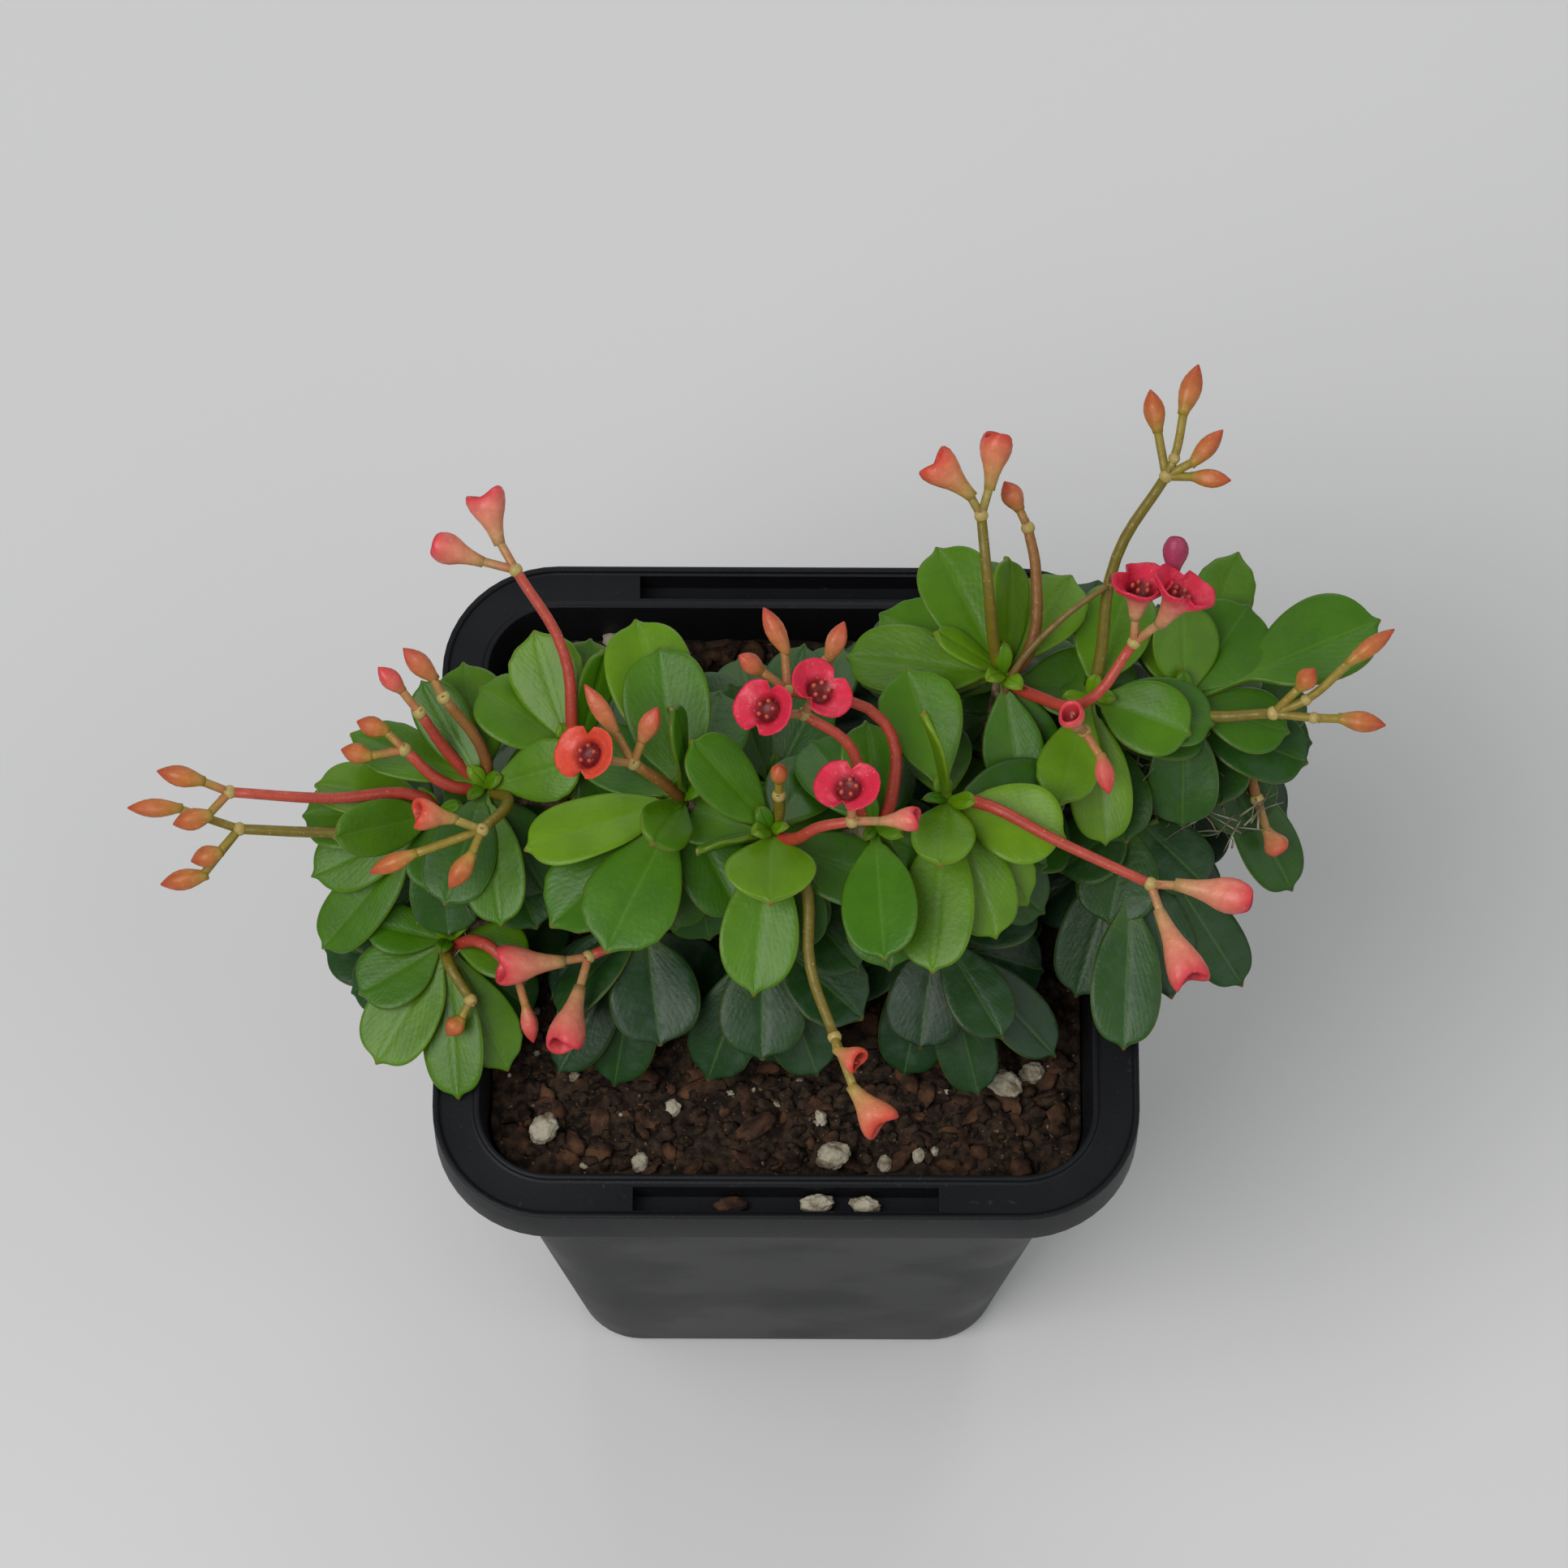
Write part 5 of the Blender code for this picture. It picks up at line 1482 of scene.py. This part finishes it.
open_form = turned_form("open_flower", OPEN)
x, y, z = points_of(open_form).T
angle = np.arctan2(y, x)
radius = np.hypot(x, y)
beyond = np.clip(radius - 1.6, 0, None)
lobes = 0.10 + 0.90 * np.abs(np.cos(angle)) ** 0.30
lobes *= 1 + 0.07 * np.cos(2 * angle) - 0.05 * np.abs(np.cos(angle)) ** 20
new_radius = np.where(radius > 1.6, 1.6 + beyond * lobes, radius)
z = z + 0.035 * np.sin(6 * angle) * beyond / 2 + 0.10 * np.clip(beyond - 1.0, 0, None)
set_points(open_form, np.stack((np.cos(angle) * new_radius, np.sin(angle) * new_radius, z), axis=1))
for form in (bud_form, half_form, open_form):
    paint(form, "level", level_of(form))

# %% [markdown]
# Where a stalk forks there is a pale swollen joint with a pair of tiny dry bracts, and in
# each open throat a ring of small glands. Both are small, so both are plain low forms.

# %% Joint, bract and gland forms
bpy.ops.object.select_all(action="DESELECT")
bpy.ops.mesh.primitive_uv_sphere_add(segments=14, ring_count=8, radius=1.0)
joint_form = added("joint")
bpy.ops.object.select_all(action="DESELECT")
bpy.ops.mesh.primitive_cone_add(vertices=8, radius1=0.55, radius2=0.05, depth=1.6, location=(0, 0, 0.8))
bpy.ops.object.transform_apply(location=True)
bract_form = added("bract")
edit(bract_form)
bpy.ops.mesh.select_all(action="SELECT")
bpy.ops.mesh.subdivide(number_cuts=1)
bpy.ops.transform.resize(value=(1, 0.35, 1))
done()
bpy.ops.object.select_all(action="DESELECT")
bpy.ops.mesh.primitive_uv_sphere_add(segments=8, ring_count=6, radius=0.24)
gland_form = added("gland")

# %% [markdown]
# ## Flower finish
# Colour changes along the stalk and again from the foot of a flower to its lobes, so it
# is stored on the points and the material only adds mottling, gloss and a soft bump.

# %% Flower material
petal, petal_shader = new_material("flower_skin", 0.45, 0.4)
petal_tint = attribute(petal, "tint", "Color")
mottled = stretch(petal, noise(petal, 900.0, 4.0), 0.3, 0.7)
shade_of = blend(petal, 1.0, petal_tint, (0.74, 0.62, 0.60), "MULTIPLY")
petal_colour = blend(petal, sums(petal, "MULTIPLY", mottled, 0.6), petal_tint, shade_of)
flecks = stretch(petal, noise(petal, 2600.0, 2.0), 0.66, 0.74, 0.0, 0.3)
petal_colour = blend(petal, flecks, petal_colour, (0.85, 0.55, 0.35))
join(petal, petal_colour, petal_shader.inputs["Base Color"])
join(petal, stretch(petal, mottled, 0, 1, 0.38, 0.55), petal_shader.inputs["Roughness"])
bump(petal, petal_shader, noise(petal, 2200.0, 3.0), 0.05 * MM)

# %% Colours of stalks and flowers
STALK_TINTS = {  # at the foot of the stalk, at its fork
    "coral": ((0.42, 0.040, 0.018), (0.55, 0.085, 0.05)),
    "olive": ((0.17, 0.14, 0.008), (0.21, 0.165, 0.012)),
    "brown": ((0.17, 0.062, 0.012), (0.33, 0.15, 0.03)),
}
BUD_TINTS = {  # at the foot, in the middle, at the tip
    "coral": ((0.50, 0.27, 0.07), (0.80, 0.16, 0.12), (0.72, 0.035, 0.05)),
    "olive": ((0.36, 0.27, 0.03), (0.60, 0.20, 0.045), (0.52, 0.06, 0.02)),
    "brown": ((0.42, 0.22, 0.05), (0.62, 0.20, 0.07), (0.60, 0.05, 0.03)),
}
HALF_TINTS = {
    "coral": ((0.52, 0.33, 0.12), (0.85, 0.26, 0.17), (0.80, 0.055, 0.075)),
    "olive": ((0.42, 0.33, 0.07), (0.78, 0.25, 0.12), (0.74, 0.07, 0.035)),
    "brown": ((0.40, 0.26, 0.07), (0.70, 0.24, 0.10), (0.70, 0.09, 0.04)),
}
OPEN_TINTS = {
    "coral": ((0.55, 0.35, 0.14), (0.85, 0.20, 0.17), (0.78, 0.018, 0.065)),
    "olive": ((0.50, 0.33, 0.10), (0.82, 0.22, 0.12), (0.76, 0.04, 0.03)),
    "brown": ((0.50, 0.33, 0.10), (0.82, 0.22, 0.12), (0.80, 0.07, 0.03)),
}
DEPTH = 0.82  # how deep all the flower colours are
THROAT = (0.22, 0.008, 0.012)
JOINT_TINT = (0.42, 0.33, 0.10)
NECK_TINTS = {"coral": (0.50, 0.17, 0.075), "olive": (0.27, 0.21, 0.025), "brown": (0.40, 0.20, 0.05)}
OTHER_HUES = {1: "olive", 6: "olive", 10: "brown"}  # stalks whose flowers are not of their own colour
BRACT_TINT = (0.30, 0.17, 0.06)
GLAND_TINT = (0.50, 0.10, 0.055)


def graded(values, stops, colours):
    """Colours along a scale, as an array."""
    values = np.clip(values, stops[0], stops[-1])
    return DEPTH * np.stack([np.interp(values, stops, [colour[i] for colour in colours]) for i in range(3)], axis=1)


# %% Set one flower
FACE_UP = Vector((0, -0.15, 0.55))  # an open flower turns its face to the light


def flower(kind, colour, foot, tip):
    """A copy of a flower form drawn from its foot to its tip, with its colours."""
    form, stops, colours = {
        "bud": (bud_form, (0, 0.35, 1.0), BUD_TINTS[colour]),
        "half": (half_form, (0, 0.36, 0.58, 0.75, 1.0), (*HALF_TINTS[colour], HALF_TINTS[colour][2], THROAT)),
        "open": (open_form, (0, 0.3, 0.5, 0.8, 0.93), (*OPEN_TINTS[colour], OPEN_TINTS[colour][2], THROAT)),
    }[kind]
    piece = copied(form)
    level = np.empty(len(piece.data.vertices), np.float32)
    piece.data.attributes["level"].data.foreach_get("value", level)
    tint(piece, graded(level, stops, colours))
    piece.data.attributes.remove(piece.data.attributes["level"])
    axis = tip - foot
    length = axis.length
    girth = random.uniform(0.92, 1.1) * MM * (1.0 if kind == "bud" else min(1.15, max(0.85, length / (6 * MM))))
    if kind == "open":
        girth = 1.22 * MM
        axis = (axis.normalized() + FACE_UP).normalized() * length
    spin = Matrix.Rotation(random.uniform(0, math.pi), 4, "Z")
    turn = axis.to_track_quat("Z", "Y").to_matrix().to_4x4()
    size = Matrix.Diagonal((girth, girth, length, 1.0))
    place = Matrix.Translation(foot) @ turn @ spin @ size
    moved(piece, place)
    parts = [piece]
    if kind == "bud":
        return parts
    for count in range(5 if kind == "open" else 2):
        gland = copied(gland_form)
        tint(gland, GLAND_TINT)
        swing = 2 * math.pi * count / 5 + 0.3
        ring = 0.85 if kind == "open" else 0.45
        height = 0.80 if kind == "open" else 0.86
        at = Matrix.Translation((math.cos(swing) * ring, math.sin(swing) * ring, height))
        moved(gland, place @ at @ Matrix.Diagonal((1, 1, 1.6 * MM / length, 1)))
        parts.append(gland)
    return parts


# %% Make the flower stalks
STALK_SLOTS = {"coral": "coral_flower", "olive": "olive_stalk", "brown": "brown_stalk"}


def tinted_rod(points, radii, first, last):
    """A rod whose colour goes from the first to the last along its length."""
    piece = rod("rod", points, radii)
    places = points_of(piece)
    line = np.array(points[-1] - points[0])
    share = (places - np.array(points[0])) @ line / (line @ line)
    tint(piece, graded(share, (0, 1), (first, last)))
    return piece


def bracts(place, axis, count, size):
    made = []
    for number in range(count):
        piece = copied(bract_form)
        tint(piece, BRACT_TINT)
        turn = axis.to_track_quat("Z", "Y").to_matrix().to_4x4()
        swing = Matrix.Rotation(2 * math.pi * number / count + random.uniform(-0.4, 0.4), 4, "Z")
        lean = Matrix.Rotation(random.uniform(0.6, 1.0), 4, "X")
        made.append(moved(piece, Matrix.Translation(place) @ turn @ swing @ lean @ Matrix.Scale(size, 4)))
    return made


def joint(place, size):
    piece = copied(joint_form)
    tint(piece, JOINT_TINT)
    return moved(piece, Matrix.Translation(place) @ Matrix.Scale(size, 4))


for number, (colour, points, heads) in enumerate(FLOWER_STALKS, start=1):
    points = [in_metres(point) for point in points]
    fork = points[-1]
    low, high = STALK_TINTS[colour]
    radii = [0.80 * MM] * 2 + [0.70 * MM] * (len(points) - 2) + [0.64 * MM]
    shoot = min((in_metres(row[0]) for row in ROSETTES.values()), key=lambda place: (place - points[0]).length)
    parts = [tinted_rod([shoot - Vector((0, 0, 1 * MM)), *points], radii, low, high), joint(fork, 0.9 * MM)]
    parts += bracts(fork, (fork - points[-2]).normalized(), 2, 1.0 * MM)
    for kind, *route in heads:
        route = [in_metres(point) for point in route]
        foot, tip = route[-2:]
        into = foot + (tip - foot) * 0.12
        hue = OTHER_HUES.get(number, colour)
        colours = {"bud": BUD_TINTS, "half": HALF_TINTS, "open": OPEN_TINTS}[kind][hue]
        neck = [fork, *route[:-2], into]
        parts.append(tinted_rod(neck, [0.56 * MM] * len(neck), NECK_TINTS[colour], colours[0]))
        for place in route[:-2]:
            parts += [joint(place, 0.76 * MM), *bracts(place, (tip - place).normalized(), 2, 0.8 * MM)]
        parts += flower(kind, hue, foot, tip)
    name = f"flower_stalk_{number:02d}"
    stalk = joined(parts, "flowers_" + name[-2:])
    finish_piece(stalk, petal, STALK_SLOTS[colour], name)
print("flower stalks:", len(FLOWER_STALKS))

# %% [markdown]
# ## What is dry or spent
# One bare brown stalk arches over the leaves, a faded flower hangs behind the open pair,
# and below the east rosettes dry bristles are left where old stalks broke off.

# %% Spent stalk and faded flower
spent_points = [in_metres(p) for p in ((26, 11, 127), (28.4, 15.9, 134), (34.4, 21.1, 139), (39.9, 24.6, 141))]
spent = tinted_rod(spent_points, [0.6 * MM, 0.5 * MM, 0.42 * MM, 0.36 * MM], (0.13, 0.075, 0.02), (0.24, 0.16, 0.03))
tip_way = (spent_points[-1] - spent_points[-2]).normalized()
spent = joined([spent, *bracts(spent_points[-1], tip_way, 3, 0.9 * MM)], "spent_stalk")
finish_piece(spent, petal, "brown_stalk")
fade_foot, fade_tip = in_metres((47.5, 22.0, 147.5)), in_metres((48.2, 26.9, 150))
faded = joined(flower("half", "coral", fade_foot, fade_tip), "faded_flower")
tint(faded, (0.34, 0.035, 0.09))
finish_piece(faded, petal, "coral_flower")

# %% Dry bristles
straw, straw_shader = new_material("dry_straw", 0.7, 0.3)
straw_tone = stretch(straw, noise(straw, 300.0, 3.0), 0.35, 0.7)
join(straw, blend(straw, straw_tone, (0.10, 0.072, 0.045), (0.34, 0.30, 0.22)), straw_shader.inputs["Base Color"])
bump(straw, straw_shader, noise(straw, 2500.0, 2.0), 0.05 * MM)
BRISTLE_SPOTS = (  # centre, spread, how many
    ((50, 7, 113), 7.0, 34),
    ((45, 9, 114), 6.0, 22),
    ((58, 6, 111), 5.0, 18),
    ((-42, -6, 110), 5.0, 14),
    ((24, 6, 116), 6.0, 20),
    ((2, 0, 118), 6.0, 14),
    ((-28, 2, 114), 6.0, 14),
)
bristles = []
for centre, spread, count in BRISTLE_SPOTS:
    for _ in range(count):
        start = Vector([random.gauss(value, spread / 2.5) for value in centre]) * MM
        way = Vector((random.uniform(-1, 1), random.uniform(-1, 0.6), random.uniform(-0.1, 0.9))).normalized()
        sag = Vector((random.uniform(-1, 1), random.uniform(-1, 1), -0.6)) * 0.8 * MM
        length = random.uniform(3.0, 7.5) * MM
        line = (start, start + way * length * 0.5, start + way * length + sag)
        bristles.append(rod("bristle", line, (0.16 * MM, 0.11 * MM, 0.03 * MM), sides=0, steps=3))
finish_piece(joined(bristles, "dry_bristles"), straw, "stem")
drop(bud_form, half_form, open_form, joint_form, bract_form, gland_form)
print("bristles:", len(bristles))
